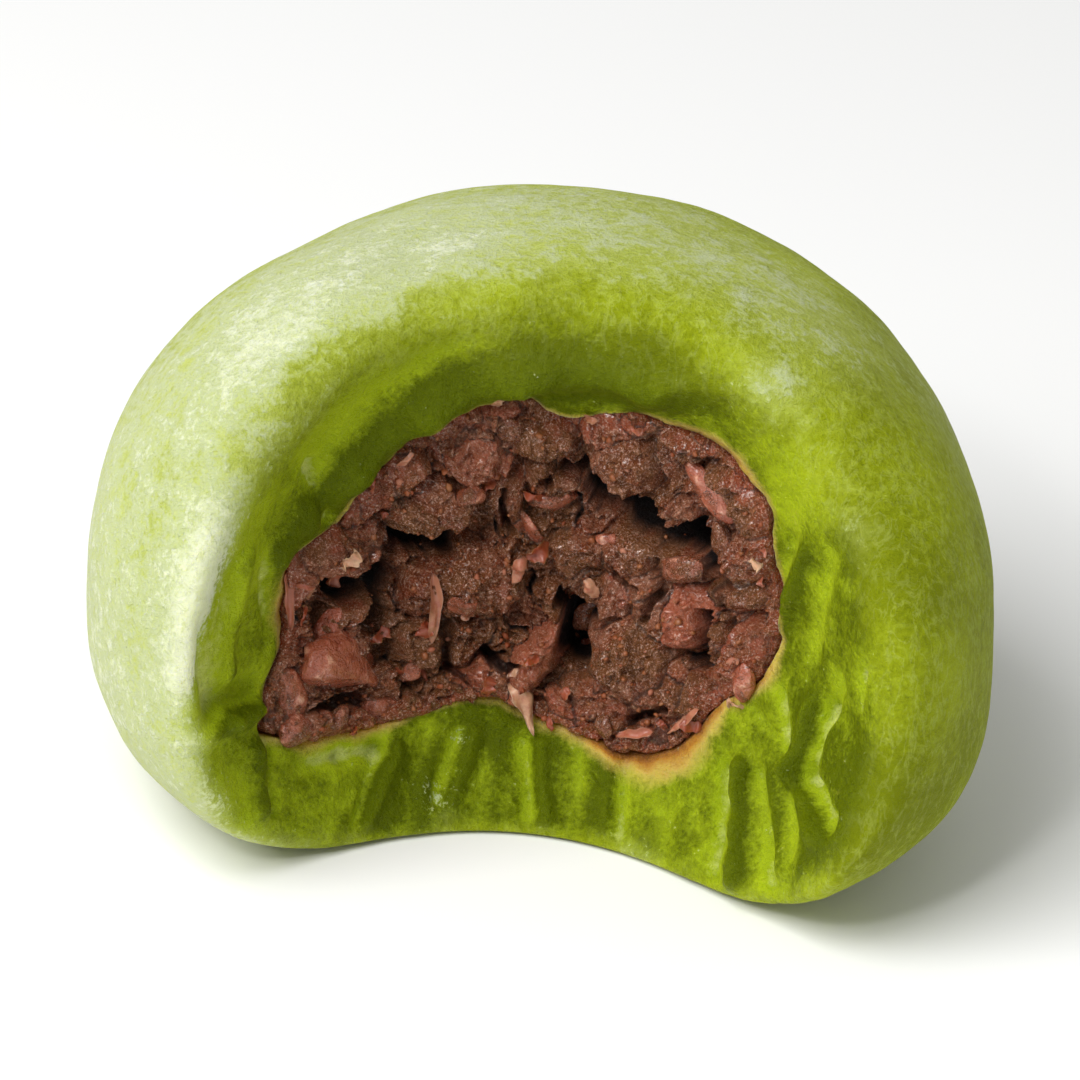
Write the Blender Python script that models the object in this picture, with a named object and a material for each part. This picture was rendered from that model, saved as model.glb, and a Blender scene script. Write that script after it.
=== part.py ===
"""Matcha rice cake with one bite out of it: a soft green rice skin around a ball of coarse red bean paste.

Metres, +Z up. The cake rests on its own flat underside at z = 0, and the bite opens towards -Y.

Each solid is a UV sphere whose vertices are moved out along straight rays until they meet the food's form.
A form is a function of a point that is negative inside the food and positive outside it, in millimetres.
The rays leave a flat oval core that lies inside the food behind the bite, square to that core.
"""
import math

import bpy
import bmesh
import numpy as np
from mathutils import Matrix

MM = 0.001                      # metres in a millimetre: the sizes below are in millimetres
BOX_CENTRE = (-0.51, 4.17, 0.0)  # of the bitten cake, in the unbitten cake's axes: it becomes the origin

# The whole cake
CAKE_HALF_WIDTH = 28.4          # along X, at the widest level
CAKE_HALF_DEPTH = 26.8          # along Y, before the bite
CAKE_HEIGHT = 37.9
WIDEST_HEIGHT = 15.3            # the sagging dough is widest this high above the table
CONTACT_SHARE = 0.55            # radius of the flat underside, as a share of the half width
PLAN_POWER = 2.05               # 2 is an oval seen from above, more is squarer
DOME_POWER = 2.24               # the same for the upper half seen from the side
SAG_POWER = 2.96                # and for the fuller lower half
LEAN = -0.024                   # how far the cake leans to +X, for each mm of height
PLAN_WAVES = {1: (0.004, -0.008), 2: (-0.012, -0.001), 3: (-0.024, -0.032)}   # dents and swells of the plan
UNDERSIDE_ROUNDING = 0.8        # soft edge around the flat underside

# The bite, an oval hollow that opens towards -Y and leans back
BITE_CENTRE = (-0.46, -22.1, 17.0)
BITE_HALF_WIDTH = 20.5
BITE_REACH = 22.1               # from its centre to its deepest point
BITE_UPPER = 26.1               # half height above its centre
BITE_LOWER = 23.7               # and below it
BITE_LEAN = math.radians(7.3)
RIM_ROLL = 2.5                  # the stretched skin rolls over the bite's edge
RIM_ROLL_ABOVE = 3.5            # and this much wider above
RIM_ROLL_RIGHT = 2.5            # and on the +X side

# Ridges between the teeth, in the thick flesh below the filling: place along X, height, half width
TOOTH_RIDGES = ((-10.4, 0.45, 1.0), (-4.9, 0.35, 0.9), (0.1, 0.45, 1.0), (6.2, 0.40, 0.9), (12.4, 0.75, 1.3))
TOOTH_RIDGES_TOP = 9.0          # they fade out towards this height
# Pinched folds where the bite leaves the two lobes: X, Y, Z, radius, depth
FOLDS = ((17.2, -12.4, 10.5, 2.6, 0.9), (-18.4, -13.6, 9.8, 2.0, 0.8))

# The bean filling, a ball pressed flat below
FILLING_CENTRE = (-1.2, 2.0, 15.8)
FILLING_HALF_WIDTH = 18.2
FILLING_HALF_DEPTH = 17.0
FILLING_UPPER = 14.5
FILLING_LOWER = 9.6
FILLING_DOME_POWER = 1.8
FILLING_FLOOR_POWER = 6.0
FILLING_EDGE = 1.0              # rounding where its bitten face meets its side
# Where the uneven ball is wider or narrower: direction round the Y axis and width in degrees, share of its size
FILLING_BULGES = ((-156.0, 12.0, 0.15), (-108.0, 17.0, -0.12), (-57.0, 15.0, 0.09), (-27.0, 15.0, -0.15),
                  (38.0, 17.0, 0.14), (84.0, 15.0, -0.14), (142.0, 20.0, -0.14))
BULGE_REACH = 1.6               # more lets the bulges reach nearer to the axis
SEAT_GAP = 0.5                  # between the filling and the skin
BEAN_SPACING = 4.6              # between the half crushed beans that show on the bitten face
BEAN_WANDER = 1.3               # how far each lies from its place in the even pattern
BEAN_RISE = 0.9                 # from the cleft between two beans to a bean's crown
BEAN_SEED = 11
# Hollows between the beans of the bitten face: X, Z, radius, depth
PASTE_HOLLOWS = ((-9.4, 17.6, 2.1, 3.0), (6.3, 21.7, 2.1, 3.4), (2.2, 13.2, 1.7, 3.4), (-2.8, 9.9, 1.2, 1.8))

# The flat oval cores that the rays leave, as centre and radii
SKIN_CORE = ((0.0, 11.5, 17.0), (21.0, 2.0, 11.0))
FILLING_CORE = ((-1.2, 8.5, 15.0), (13.0, 1.5, 7.0))
CORE_EDGE_CROWDING = 1.8        # draws rays towards a core's edge, where they fan out over the sides
LONGEST_RAY = 45.0
HALVINGS = 34                   # of a ray's length, until the form is met closer than a nanometre
PROFILE_SAMPLES = 400           # along each profile from the front pole to the back, to space the rings

# How finely each sphere is divided: around, front to back, and how many rings lie before the bite's edge
SKIN_DIVISIONS = (84, 38, 13)
FILLING_DIVISIONS = (56, 26, 15)


def smooth_max(a, b, blend):
    """The larger of two values, with the corner between them rounded over the width blend."""
    share = np.clip(0.5 + 0.5 * (a - b) / blend, 0.0, 1.0)
    return b + (a - b) * share + blend * share * (1.0 - share)


def smooth_step(value, start, end):
    """0 before start, 1 after end, and an S curve between them."""
    share = np.clip((value - start) / (end - start), 0.0, 1.0)
    return share * share * (3.0 - 2.0 * share)


def length_of(powers, *sides):
    """The distance from 0 that takes each side's size to a power and the sum back to its root."""
    return sum(np.abs(side) ** powers for side in sides) ** (1.0 / powers)


def plan_wave(x, y):
    """How much wider the plan is in the direction of each point, from a few slow waves around the cake."""
    angle = np.arctan2(y, x)
    waves = (c * np.cos(n * angle) + s * np.sin(n * angle) for n, (c, s) in PLAN_WAVES.items())
    return 1.0 + sum(waves)


def cake_form(points):
    """The unbitten cake: a domed upper half and a sagging lower half, which the table would cut flat."""
    x, y, z = points
    height = z - WIDEST_HEIGHT
    x = x - LEAN * height
    plan = length_of(PLAN_POWER, x / CAKE_HALF_WIDTH, y / CAKE_HALF_DEPTH) / plan_wave(x, y)
    dome = length_of(DOME_POWER, plan, height / (CAKE_HEIGHT - WIDEST_HEIGHT))
    depth_below = WIDEST_HEIGHT / (1.0 - CONTACT_SHARE ** SAG_POWER) ** (1.0 / SAG_POWER)
    sag = length_of(SAG_POWER, plan, height / depth_below)
    return (np.where(height > 0.0, dome, sag) - 1.0) * 20.0


def tooth_ridges(x, z):
    """The height of the upright ridges in the flesh below the filling."""
    fade = np.clip((TOOTH_RIDGES_TOP - z) / 4.0, 0.0, 1.0) * np.clip(z / 2.0, 0.0, 1.0)
    return fade * sum(height * np.exp(-((x - place) / half) ** 2) for place, height, half in TOOTH_RIDGES)


def folds(points):
    """The depth of the pinched folds at the bite's two sides."""
    x, y, z = points
    return sum(depth * np.exp(-((x - fold_x) ** 2 + (y - fold_y) ** 2 + (z - fold_z) ** 2) / radius ** 2)
               for fold_x, fold_y, fold_z, radius, depth in FOLDS)


def bite_form(points):
    """The bite: negative inside the hollow that the teeth took out."""
    x, y, z = (axis - centre for axis, centre in zip(points, BITE_CENTRE))
    forward = y * math.cos(BITE_LEAN) - z * math.sin(BITE_LEAN)
    upward = z * math.cos(BITE_LEAN) + y * math.sin(BITE_LEAN)
    half_height = np.where(upward > 0.0, BITE_UPPER, BITE_LOWER)
    return (length_of(2.0, x / BITE_HALF_WIDTH, forward / BITE_REACH, upward / half_height) - 1.0) * 20.0


def bitten_side(points):
    """The bitten face of the skin, with its tooth ridges and its folds."""
    return -bite_form(points) - tooth_ridges(points[0], points[2]) + folds(points)


def whole_form(points):
    """The bitten cake, skin and filling together, with its rolled rim and its flat underside."""
    x, _, z = points
    roll = RIM_ROLL + RIM_ROLL_ABOVE * smooth_step(z, 20.0, 31.0)
    roll = roll + RIM_ROLL_RIGHT * smooth_step(x, 10.0, 18.0) * smooth_step(z, 6.0, 14.0)
    bitten = smooth_max(cake_form(points), bitten_side(points), roll)
    return smooth_max(bitten, -points[2], UNDERSIDE_ROUNDING)


def inside_rim(points):
    """Positive on the bitten face, and negative on the outside and the underside."""
    return bitten_side(points) - np.maximum(cake_form(points), -points[2])


def bulge(x, y, z):
    """How much wider the ball is in the direction of each point: bulges and dents around the Y axis, which fade
    out towards that axis."""
    direction = np.arctan2(z, x)
    wider = 0.0
    for place, width, share in FILLING_BULGES:
        away = (direction - math.radians(place) + math.pi) % (2.0 * math.pi) - math.pi
        wider = wider + share * np.exp(-(away / math.radians(width)) ** 2)
    sideways = (x ** 2 + z ** 2) / (x ** 2 + y ** 2 + z ** 2)
    return 1.0 + wider * np.minimum(1.0, BULGE_REACH * sideways)


def ball_form(points, spare=0.0):
    """The ball of filling, or with spare the slightly larger hollow that it sits in."""
    x, y, z = (axis - centre for axis, centre in zip(points, FILLING_CENTRE))
    across = length_of(2.0, x / (FILLING_HALF_WIDTH + spare), y / (FILLING_HALF_DEPTH + spare))
    dome = length_of(FILLING_DOME_POWER, across, z / (FILLING_UPPER + spare))
    floor = length_of(FILLING_FLOOR_POWER, across, z / (FILLING_LOWER + spare))
    return (np.where(z > 0.0, dome, floor) / bulge(x, y, z) - 1.0) * 15.0


def hollow_form(points):
    return ball_form(points, SEAT_GAP)


def bean_places():
    """Where the beans of the bitten face lie, as X and Z: staggered rows, each bean a little off its place."""
    chance = np.random.default_rng(BEAN_SEED)
    rows = np.arange(-4, 5)
    x, z = np.meshgrid(rows * BEAN_SPACING, rows * BEAN_SPACING * 0.87)
    x = x + 0.5 * BEAN_SPACING * (rows[:, None] % 2) + chance.uniform(-BEAN_WANDER, BEAN_WANDER, x.shape)
    z = z + chance.uniform(-BEAN_WANDER, BEAN_WANDER, z.shape)
    return x.ravel() + FILLING_CENTRE[0], z.ravel() + FILLING_CENTRE[2]


def paste_relief(points):
    """Crowns of half crushed beans and the hollows between them, positive where the face lies deeper."""
    x, y, z = points
    nearest = np.full(x.shape, BEAN_SPACING)
    for bean_x, bean_z in zip(*bean_places()):
        nearest = np.minimum(nearest, np.hypot(x - bean_x, z - bean_z))
    relief = BEAN_RISE * ((nearest / (0.5 * BEAN_SPACING)) ** 2 - 0.5)
    for hollow_x, hollow_z, radius, depth in PASTE_HOLLOWS:
        away = (x - hollow_x) ** 2 + (z - hollow_z) ** 2
        relief = relief + depth * np.exp(-away / radius ** 2)
    return relief


def paste_face(points):
    return -bite_form(points) + paste_relief(points)


def filling_form(points):
    """The ball as far as the bite, with its uneven bitten face."""
    return smooth_max(ball_form(points), paste_face(points), FILLING_EDGE)


def inside_face(points):
    """Positive on the filling's bitten face, and negative on its side."""
    return paste_face(points) - ball_form(points)


def meet(form, core, around, from_front):
    """The points where rays from the core, given by their two angles, meet the form."""
    centre, radii = (np.array(value).reshape(3, *[1] * around.ndim) for value in core)
    unit = np.array([np.sin(from_front) * np.cos(around), -np.cos(from_front), np.sin(from_front) * np.sin(around)])
    start = unit * radii + centre
    ray = unit / radii
    ray /= np.linalg.norm(ray, axis=0)
    near = np.zeros(around.shape)
    far = np.full(around.shape, LONGEST_RAY)
    for _ in range(HALVINGS):
        middle = 0.5 * (near + far)
        inside = form(start + ray * middle) < 0.0
        near = np.where(inside, middle, near)
        far = np.where(inside, far, middle)
    return start + ray * near


def ring_angles(form, inside_edge, core, segments, rings, rings_to_edge):
    """The rays' angles from the front, by ring and segment.

    One ring lies on the edge of the bite, and the others are evenly spaced along the surface on either side.
    """
    around = np.arange(segments) * 2.0 * math.pi / segments
    side = np.linspace(-1.0, 1.0, PROFILE_SAMPLES)
    from_front = 0.5 * math.pi * (1.0 + np.sign(side) * np.abs(side) ** CORE_EDGE_CROWDING)
    points = meet(form, core, *np.meshgrid(around, from_front))
    steps = np.linalg.norm(np.diff(points, axis=1), axis=0)
    along = np.vstack([np.zeros(segments), np.cumsum(steps, axis=0)])
    first_outside = np.argmax(inside_edge(points) < 0.0, axis=0)
    to_edge = np.linspace(0.0, 1.0, rings_to_edge + 1)
    past_edge = np.linspace(0.0, 1.0, rings - rings_to_edge + 1)[1:]
    angles = np.empty((rings + 1, segments))
    for column in range(segments):
        edge = along[first_outside[column], column]
        wanted = np.concatenate([edge * to_edge, edge + (along[-1, column] - edge) * past_edge])
        angles[:, column] = np.interp(wanted, along[:, column], from_front)
    return angles


def sphere_on(name, form, inside_edge, core, divisions):
    """A UV sphere with its poles at the front and the back, each vertex moved out along its ray to the form."""
    segments, rings, rings_to_edge = divisions
    mesh = bpy.data.meshes.new(name)
    bm = bmesh.new()
    poles_along_y = Matrix.Rotation(math.radians(90.0), 4, "X")
    bmesh.ops.create_uvsphere(bm, u_segments=segments, v_segments=rings, radius=1.0, matrix=poles_along_y)
    bm.to_mesh(mesh)
    bm.free()

    sphere = np.empty(3 * len(mesh.vertices), dtype=np.float32)
    mesh.vertices.foreach_get("co", sphere)
    x, y, z = sphere.reshape(-1, 3).T
    segment = np.rint(np.arctan2(z, x) / (2.0 * math.pi) * segments).astype(int) % segments
    ring = np.rint(np.arccos(np.clip(-y, -1.0, 1.0)) / math.pi * rings).astype(int)
    angles = ring_angles(form, inside_edge, core, segments, rings, rings_to_edge)
    points = meet(form, core, segment * 2.0 * math.pi / segments, angles[ring, segment])
    points -= np.array(BOX_CENTRE)[:, None]
    points[2] = np.where(np.abs(points[2]) < 1e-6, 0.0, points[2])
    mesh.vertices.foreach_set("co", (points * MM).T.astype(np.float32).ravel())
    mesh.shade_smooth()
    mesh.update()
    return bpy.data.objects.new(name, mesh)


def food_material(name, colour, roughness):
    material = bpy.data.materials.new(name)
    material.use_nodes = True
    shader = material.node_tree.nodes["Principled BSDF"]
    shader.inputs["Base Color"].default_value = (*colour, 1.0)
    shader.inputs["Roughness"].default_value = roughness
    shader.inputs["Metallic"].default_value = 0.0
    return material


def rice_skin(parts, cutters):
    """The whole bitten cake with the filling's seat cut out of it."""
    skin = sphere_on("rice_skin", whole_form, inside_rim, SKIN_CORE, SKIN_DIVISIONS)
    skin.data.materials.append(food_material("matcha_rice_dough", (0.36, 0.43, 0.06), 0.6))
    parts.objects.link(skin)

    seat = sphere_on("filling_seat", hollow_form, inside_face, FILLING_CORE, FILLING_DIVISIONS)
    seat.display_type = "WIRE"
    seat.hide_render = True
    cutters.objects.link(seat)

    cut = skin.modifiers.new("seat", "BOOLEAN")
    cut.operation = "DIFFERENCE"
    cut.solver = "EXACT"
    cut.object = seat
    return skin


def bean_filling(parts):
    filling = sphere_on("bean_filling", filling_form, inside_face, FILLING_CORE, FILLING_DIVISIONS)
    filling.data.materials.append(food_material("red_bean_paste", (0.10, 0.04, 0.022), 0.55))
    parts.objects.link(filling)
    return filling


def collection(name):
    group = bpy.data.collections.new(name)
    bpy.context.scene.collection.children.link(group)
    return group


for old in list(bpy.data.objects):
    bpy.data.objects.remove(old, do_unlink=True)

rice_cake = collection("bitten_rice_cake")
rice_cake_cutters = collection("bitten_rice_cake_cutters")
rice_skin(rice_cake, rice_cake_cutters)
bean_filling(rice_cake)
bpy.context.view_layer.update()
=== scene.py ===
import math

import bpy
import numpy as np
from mathutils import Matrix, Vector


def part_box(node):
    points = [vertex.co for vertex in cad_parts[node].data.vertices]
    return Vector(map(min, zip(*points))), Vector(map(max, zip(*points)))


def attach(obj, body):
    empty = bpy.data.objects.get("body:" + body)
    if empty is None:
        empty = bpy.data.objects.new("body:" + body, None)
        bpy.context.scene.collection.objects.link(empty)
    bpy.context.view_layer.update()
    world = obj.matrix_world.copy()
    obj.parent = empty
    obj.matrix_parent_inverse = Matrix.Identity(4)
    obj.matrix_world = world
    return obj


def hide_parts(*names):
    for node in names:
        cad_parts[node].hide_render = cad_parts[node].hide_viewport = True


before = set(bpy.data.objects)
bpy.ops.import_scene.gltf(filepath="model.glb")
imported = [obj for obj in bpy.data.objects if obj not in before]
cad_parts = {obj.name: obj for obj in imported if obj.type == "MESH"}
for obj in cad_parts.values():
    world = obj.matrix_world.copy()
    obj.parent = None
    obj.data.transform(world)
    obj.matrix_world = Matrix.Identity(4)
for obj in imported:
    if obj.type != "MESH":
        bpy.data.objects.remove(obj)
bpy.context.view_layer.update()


# ---- The view -------------------------------------------------------------------------------------------
# The cake is looked at from a little above, straight into its bite, through a long lens held slightly turned.
# Sizes are in millimetres of the cake's own axes, whose origin is the middle of the unbitten cake's underside.

CAKE_TOP = 37.9
BOX_CENTRE = np.array([-0.51, 4.17, 0.0])           # of the bitten cake: the frame's origin
skin_low, skin_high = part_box("rice_skin")
MM = (skin_high[2] - skin_low[2]) / CAKE_TOP         # metres in one of the cake's millimetres

CAMERA_ELEVATION = math.radians(30.0)
CAMERA_TURN = math.radians(5.0)
CAMERA_DISTANCE = 520.0
CAMERA_AIM = (-0.87, 7.8, 13.6)
CAMERA_LENS = 273.6


def in_frame(point):
    """A point of the cake's axes as metres in the frame."""
    return Vector((np.array(point) - BOX_CENTRE) * MM)


camera_data = bpy.data.cameras.new("camera")
camera_data.sensor_width = 36.0
camera_data.lens = CAMERA_LENS
camera_data.clip_start = 0.01
camera = bpy.data.objects.new("camera", camera_data)
bpy.context.scene.collection.objects.link(camera)
camera_place = in_frame((0.0, -CAMERA_DISTANCE * math.cos(CAMERA_ELEVATION),
                         CAMERA_DISTANCE * math.sin(CAMERA_ELEVATION)))
towards = (in_frame(CAMERA_AIM) - camera_place).to_track_quat("-Z", "Y").to_matrix()
camera.matrix_world = Matrix.Translation(camera_place) @ (towards @ Matrix.Rotation(CAMERA_TURN, 3, "Z")).to_4x4()
bpy.context.scene.camera = camera


# ---- The rice skin --------------------------------------------------------------------------------------
# Steamed rice dough, coloured with green tea and dusted with starch, is stretched round the filling and pinched
# shut below. The bite tore it open: its edge rolls over, and the thick flesh below the filling keeps the tooth
# marks. It is one closed surface: bitten flesh, rolled rim and outside, and the seat behind the filling.

CAKE_HALF_WIDTH = 28.4
CAKE_HALF_DEPTH = 26.8
WIDEST_HEIGHT = 15.3
CONTACT_SHARE = 0.55
PLAN_POWER = 2.05
DOME_POWER = 2.24
SAG_POWER = 2.96
LEAN = -0.024
PLAN_WAVES = {1: (0.004, -0.008), 2: (-0.012, -0.001), 3: (-0.024, -0.032)}
UNDERSIDE_ROUNDING = 0.8

BITE_CENTRE = (-0.46, -22.1, 17.0)
BITE_HALF_WIDTH = 20.5
BITE_REACH = 22.1
BITE_UPPER = 26.1
BITE_LOWER = 23.7
BITE_LEAN = math.radians(7.3)
RIM_ROLL = 2.5
RIM_ROLL_ABOVE = 3.5
RIM_ROLL_RIGHT = 2.5

FILLING_CENTRE = (-1.2, 2.0, 15.8)
FILLING_HALF_WIDTH = 18.2
FILLING_HALF_DEPTH = 17.0
FILLING_UPPER = 14.5
FILLING_LOWER = 9.6
FILLING_DOME_POWER = 1.8
FILLING_FLOOR_POWER = 6.0
# Where the filling's outline leaves that form: direction round it in degrees, width and share of its size
FILLING_BULGES = ((-156.0, 9.0, 0.17), (-108.0, 17.0, -0.13), (-57.0, 14.0, 0.09), (-27.0, 14.0, -0.17),
                  (38.0, 17.0, 0.14), (84.0, 13.0, -0.16), (142.0, 20.0, -0.14), (159.0, 6.0, -0.07),
                  (168.0, 6.0, 0.06))
BULGE_REACH = 1.6              # more lets the bulges reach nearer to the Y axis

SKIN_CORE = ((0.0, 11.5, 17.0), (21.0, 2.0, 11.0))   # centre and radii of the oval that the rays leave
CORE_EDGE_CROWDING = 1.8
LONGEST_RAY = 45.0
HALVINGS = 24
PROFILE_SAMPLES = 420
SKIN_COLUMNS = 384
SKIN_CROWDING = 0.4             # draws the columns towards the tooth marks below
FLESH_RINGS = 84
OUTSIDE_RINGS = 128
SEAT_RINGS = 14
OUTSIDE_CROWDING = 1.35        # draws the outside's rings towards the rim

# Tooth marks in the lower flesh: place along X at the foot, slant, width of the ridge's left flank, height
TOOTH_RIDGES = ((-12.6, 0.55, 0.9, 0.20), (-7.6, 0.15, 0.8, 0.20), (-2.9, 0.0, 0.7, 0.20), (2.6, 0.02, 0.9, 0.22),
                (8.6, 0.05, 1.0, 0.22), (10.4, 0.05, 0.7, 0.18), (15.6, 0.10, 0.8, 0.30))
RIDGE_STEEPNESS = 2.4           # of a ridge's right flank against its left
# Creases and ridges of the torn flesh, from one point to another: half width and height, negative for a crease
FOLDS = (((-14.4, -9.8, 5.8), (-12.1, -7.6, 5.4), 0.6, 0.5), ((-12.1, -7.6, 5.4), (-9.5, -5.7, 5.1), 0.6, 0.5),
         ((-9.5, -5.7, 5.1), (-10.8, -9.4, 1.7), 0.45, 0.7), ((-8.7, -5.5, 4.9), (-10.0, -9.0, 1.6), 0.6, -0.6),
         ((-20.1, -17.2, 11.1), (-19.1, -14.6, 11.1), 0.7, -0.9), ((-19.1, -14.6, 11.1), (-17.2, -11.1, 10.2), 0.6, -0.9),
         ((-19.5, -14.4, 12.6), (-17.5, -10.9, 11.7), 0.9, 0.7), ((-16.9, -10.9, 9.5), (-16.3, -11.2, 7.5), 0.4, 0.5),
         ((-16.3, -11.2, 7.5), (-15.7, -13.2, 4.4), 0.4, 0.45), ((-17.2, -12.2, 8.0), (-16.6, -14.0, 5.0), 0.7, -0.5),
         ((-4.8, -3.4, 5.5), (-5.9, -6.2, 2.0), 0.5, 0.5), ((-3.9, -3.3, 5.4), (-5.0, -6.0, 1.8), 0.6, -0.45),
         ((-0.7, -3.2, 4.9), (0.0, -5.7, 1.3), 0.5, 0.55), ((0.3, -3.2, 4.9), (1.0, -5.8, 1.3), 0.6, -0.45),
         ((5.6, -3.4, 6.6), (5.6, -7.5, 0.7), 0.5, 0.5), ((4.7, -3.3, 6.0), (4.6, -7.0, 1.0), 0.6, -0.35),
         ((12.0, -7.3, 6.9), (11.6, -11.7, 1.2), 0.6, 0.8), ((12.9, -7.9, 7.2), (13.0, -12.9, 2.0), 0.6, -1.0),
         ((13.9, -9.1, 7.5), (14.9, -14.7, 3.3), 0.5, 0.6), ((14.8, -9.6, 7.6), (15.8, -15.0, 4.2), 0.6, -0.4),
         ((18.0, -12.5, 16.6), (17.4, -11.6, 13.7), 0.8, 0.6), ((17.4, -11.6, 13.7), (16.8, -12.3, 9.6), 0.7, 1.0),
         ((16.8, -12.3, 9.6), (18.2, -16.7, 9.2), 0.7, 0.9), ((16.5, -10.7, 13.6), (15.9, -11.3, 9.4), 0.8, -0.9),
         ((15.9, -11.3, 9.4), (17.4, -16.4, 7.8), 0.7, -0.8), ((15.4, -9.7, 9.9), (14.7, -7.7, 13.0), 0.5, 0.6),
         ((12.9, -6.3, 11.1), (15.4, -9.7, 9.9), 0.4, 0.3), ((19.2, -16.6, 21.6), (19.1, -15.4, 18.4), 0.45, 0.35),
         ((19.1, -15.4, 18.4), (19.1, -15.5, 16.1), 0.35, 0.35), ((17.6, -14.7, 26.1), (18.1, -14.4, 23.9), 0.4, 0.4),
         ((18.1, -14.4, 23.9), (18.7, -15.6, 22.6), 0.35, 0.4), ((15.4, -8.9, 23.6), (14.2, -6.7, 16.8), 0.7, -0.7),
         ((14.5, -7.5, 23.4), (13.6, -6.0, 17.2), 0.6, 0.4), ((16.6, -11.0, 24.4), (16.2, -9.8, 17.0), 0.8, 0.4),
         ((-18.7, -12.5, 21.5), (-18.9, -13.2, 13.5), 0.9, -0.6), ((-17.7, -10.2, 20.1), (-17.1, -9.1, 15.5), 0.5, 0.4),
         ((-15.1, -7.9, 25.5), (-14.1, -5.7, 21.1), 0.5, 0.5), ((-20.4, -17.0, 18.5), (-20.0, -15.6, 13.0), 1.0, 0.6),
         ((8.0, -6.6, 33.8), (12.0, -8.8, 34.8), 1.3, 0.5), ((6.0, -4.9, 31.9), (12.5, -9.2, 33.6), 0.6, -0.5),
         ((-16.6, -8.8, 20.0), (-12.8, -5.2, 24.3), 1.5, -0.7), ((-12.8, -5.2, 24.3), (-8.3, -3.8, 28.4), 1.6, -1.0),
         ((-8.3, -3.8, 28.4), (-3.0, -3.2, 31.0), 1.7, -1.1), ((-3.0, -3.2, 31.0), (5.5, -4.0, 31.2), 1.6, -1.1),
         ((-14.6, -8.6, 28.2), (-6.7, -6.0, 33.9), 2.2, 0.6), ((-6.7, -6.0, 33.9), (-1.0, -6.0, 36.0), 2.2, 0.7),
         ((-1.0, -6.0, 36.0), (7.0, -6.8, 35.4), 2.2, 0.5))
# Pale streaks where the torn edge is thin or starch has caught, some of them painted highlights on wet ridges:
# from one point to another, half width and amount
PALE_STREAKS = (((-15.1, -7.9, 25.5), (-14.1, -5.7, 21.1), 0.4, 0.9), ((-17.7, -10.2, 20.1), (-17.1, -9.1, 15.5), 0.35, 0.8),
                ((12.9, -6.3, 11.1), (15.2, -9.4, 10.2), 0.5, 0.5), ((15.4, -9.7, 9.9), (14.7, -7.7, 13.0), 0.45, 0.7),
                ((-13.4, -8.8, 5.8), (-9.8, -6.0, 5.3), 0.6, 0.8), ((-9.5, -5.7, 5.1), (-10.8, -9.4, 1.7), 0.25, 0.8),
                ((-0.7, -3.2, 4.9), (-0.2, -4.4, 3.2), 0.45, 0.9), ((-0.2, -4.4, 3.2), (0.0, -5.7, 1.3), 0.22, 0.6),
                ((5.6, -3.4, 6.6), (5.6, -7.5, 0.7), 0.35, 0.6), ((4.9, -5.8, 2.6), (5.2, -7.2, 0.9), 1.1, 0.5),
                ((12.0, -7.3, 6.9), (11.0, -11.4, 1.4), 0.5, 0.6), ((13.9, -9.1, 7.5), (14.9, -14.7, 3.3), 0.35, 0.45),
                ((17.4, -11.6, 13.7), (16.8, -12.3, 9.6), 0.4, 0.7), ((16.8, -12.3, 9.6), (18.2, -16.7, 9.2), 0.3, 0.6),
                ((-0.5, -4.5, 33.4), (-0.4, -2.8, 31.0), 0.3, 0.9), ((5.3, -3.3, 29.6), (5.5, -2.5, 27.7), 0.35, 0.9),
                ((-16.9, -10.9, 9.5), (-16.3, -11.2, 7.5), 0.3, 0.7), ((-16.3, -11.2, 7.5), (-15.7, -13.2, 4.4), 0.25, 0.5),
                ((8.0, -6.6, 33.8), (12.0, -8.8, 34.8), 1.3, 0.55), ((6.5, -5.4, 32.6), (8.0, -6.6, 33.8), 0.4, 0.7),
                ((19.2, -16.6, 21.6), (19.1, -15.4, 18.4), 0.5, 1.1), ((19.1, -15.4, 18.4), (19.1, -15.5, 16.1), 0.3, 1.1),
                ((17.6, -14.7, 26.1), (18.1, -14.4, 23.9), 0.3, 1.0), ((18.1, -14.4, 23.9), (18.7, -15.6, 22.6), 0.25, 1.0),
                ((16.7, -16.4, 5.4), (19.3, -19.6, 9.2), 0.45, 0.8), ((14.3, -7.4, 22.6), (13.6, -6.2, 18.0), 0.5, 0.5))
# Where starch lies on the torn flesh and its rim, and where it lies on the outside: place, reach and amount
RIM_POWDER = (((-20.2, -15.4, 26.8), 2.3, 1.5), ((-20.8, -16.5, 23.4), 2.5, 1.8), ((-21.2, -17.2, 19.6), 2.3, 1.7),
              ((-21.5, -17.6, 16.0), 1.8, 1.3), ((16.1, -13.0, 30.9), 2.0, 1.0), ((14.9, -12.0, 32.2), 1.5, 0.8),
              ((12.3, -8.9, 34.6), 2.2, 1.0), ((17.2, -13.3, 27.2), 1.6, 0.5), ((-18.2, -12.6, 30.0), 2.0, 0.7),
              ((-4.9, -3.6, 5.1), 0.7, 0.8), ((-5.9, -6.0, 2.2), 1.4, 0.8), ((-14.0, -14.5, 2.0), 1.6, 0.5),
              ((6.5, -8.8, 0.8), 1.6, 0.5), ((-19.0, -17.5, 7.0), 2.2, 0.6))
POWDER_PATCHES = (((-12.1, 0.9, 36.4), 8.5, 1.15), ((-18.7, -7.2, 33.0), 6.5, 1.25), ((-3.8, 5.3, 37.5), 9.0, 0.45),
                  ((-26.5, -6.0, 18.0), 13.0, 1.2), ((-22.0, -14.0, 8.0), 9.0, 0.8), ((13.8, -0.2, 35.4), 6.0, 0.5),
                  ((6.0, 6.0, 37.0), 7.0, 0.4), ((-8.0, 20.0, 26.0), 13.0, 0.6), ((14.0, 20.0, 20.0), 9.0, 0.45),
                  ((22.0, 4.0, 26.0), 6.0, 0.35))
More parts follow.
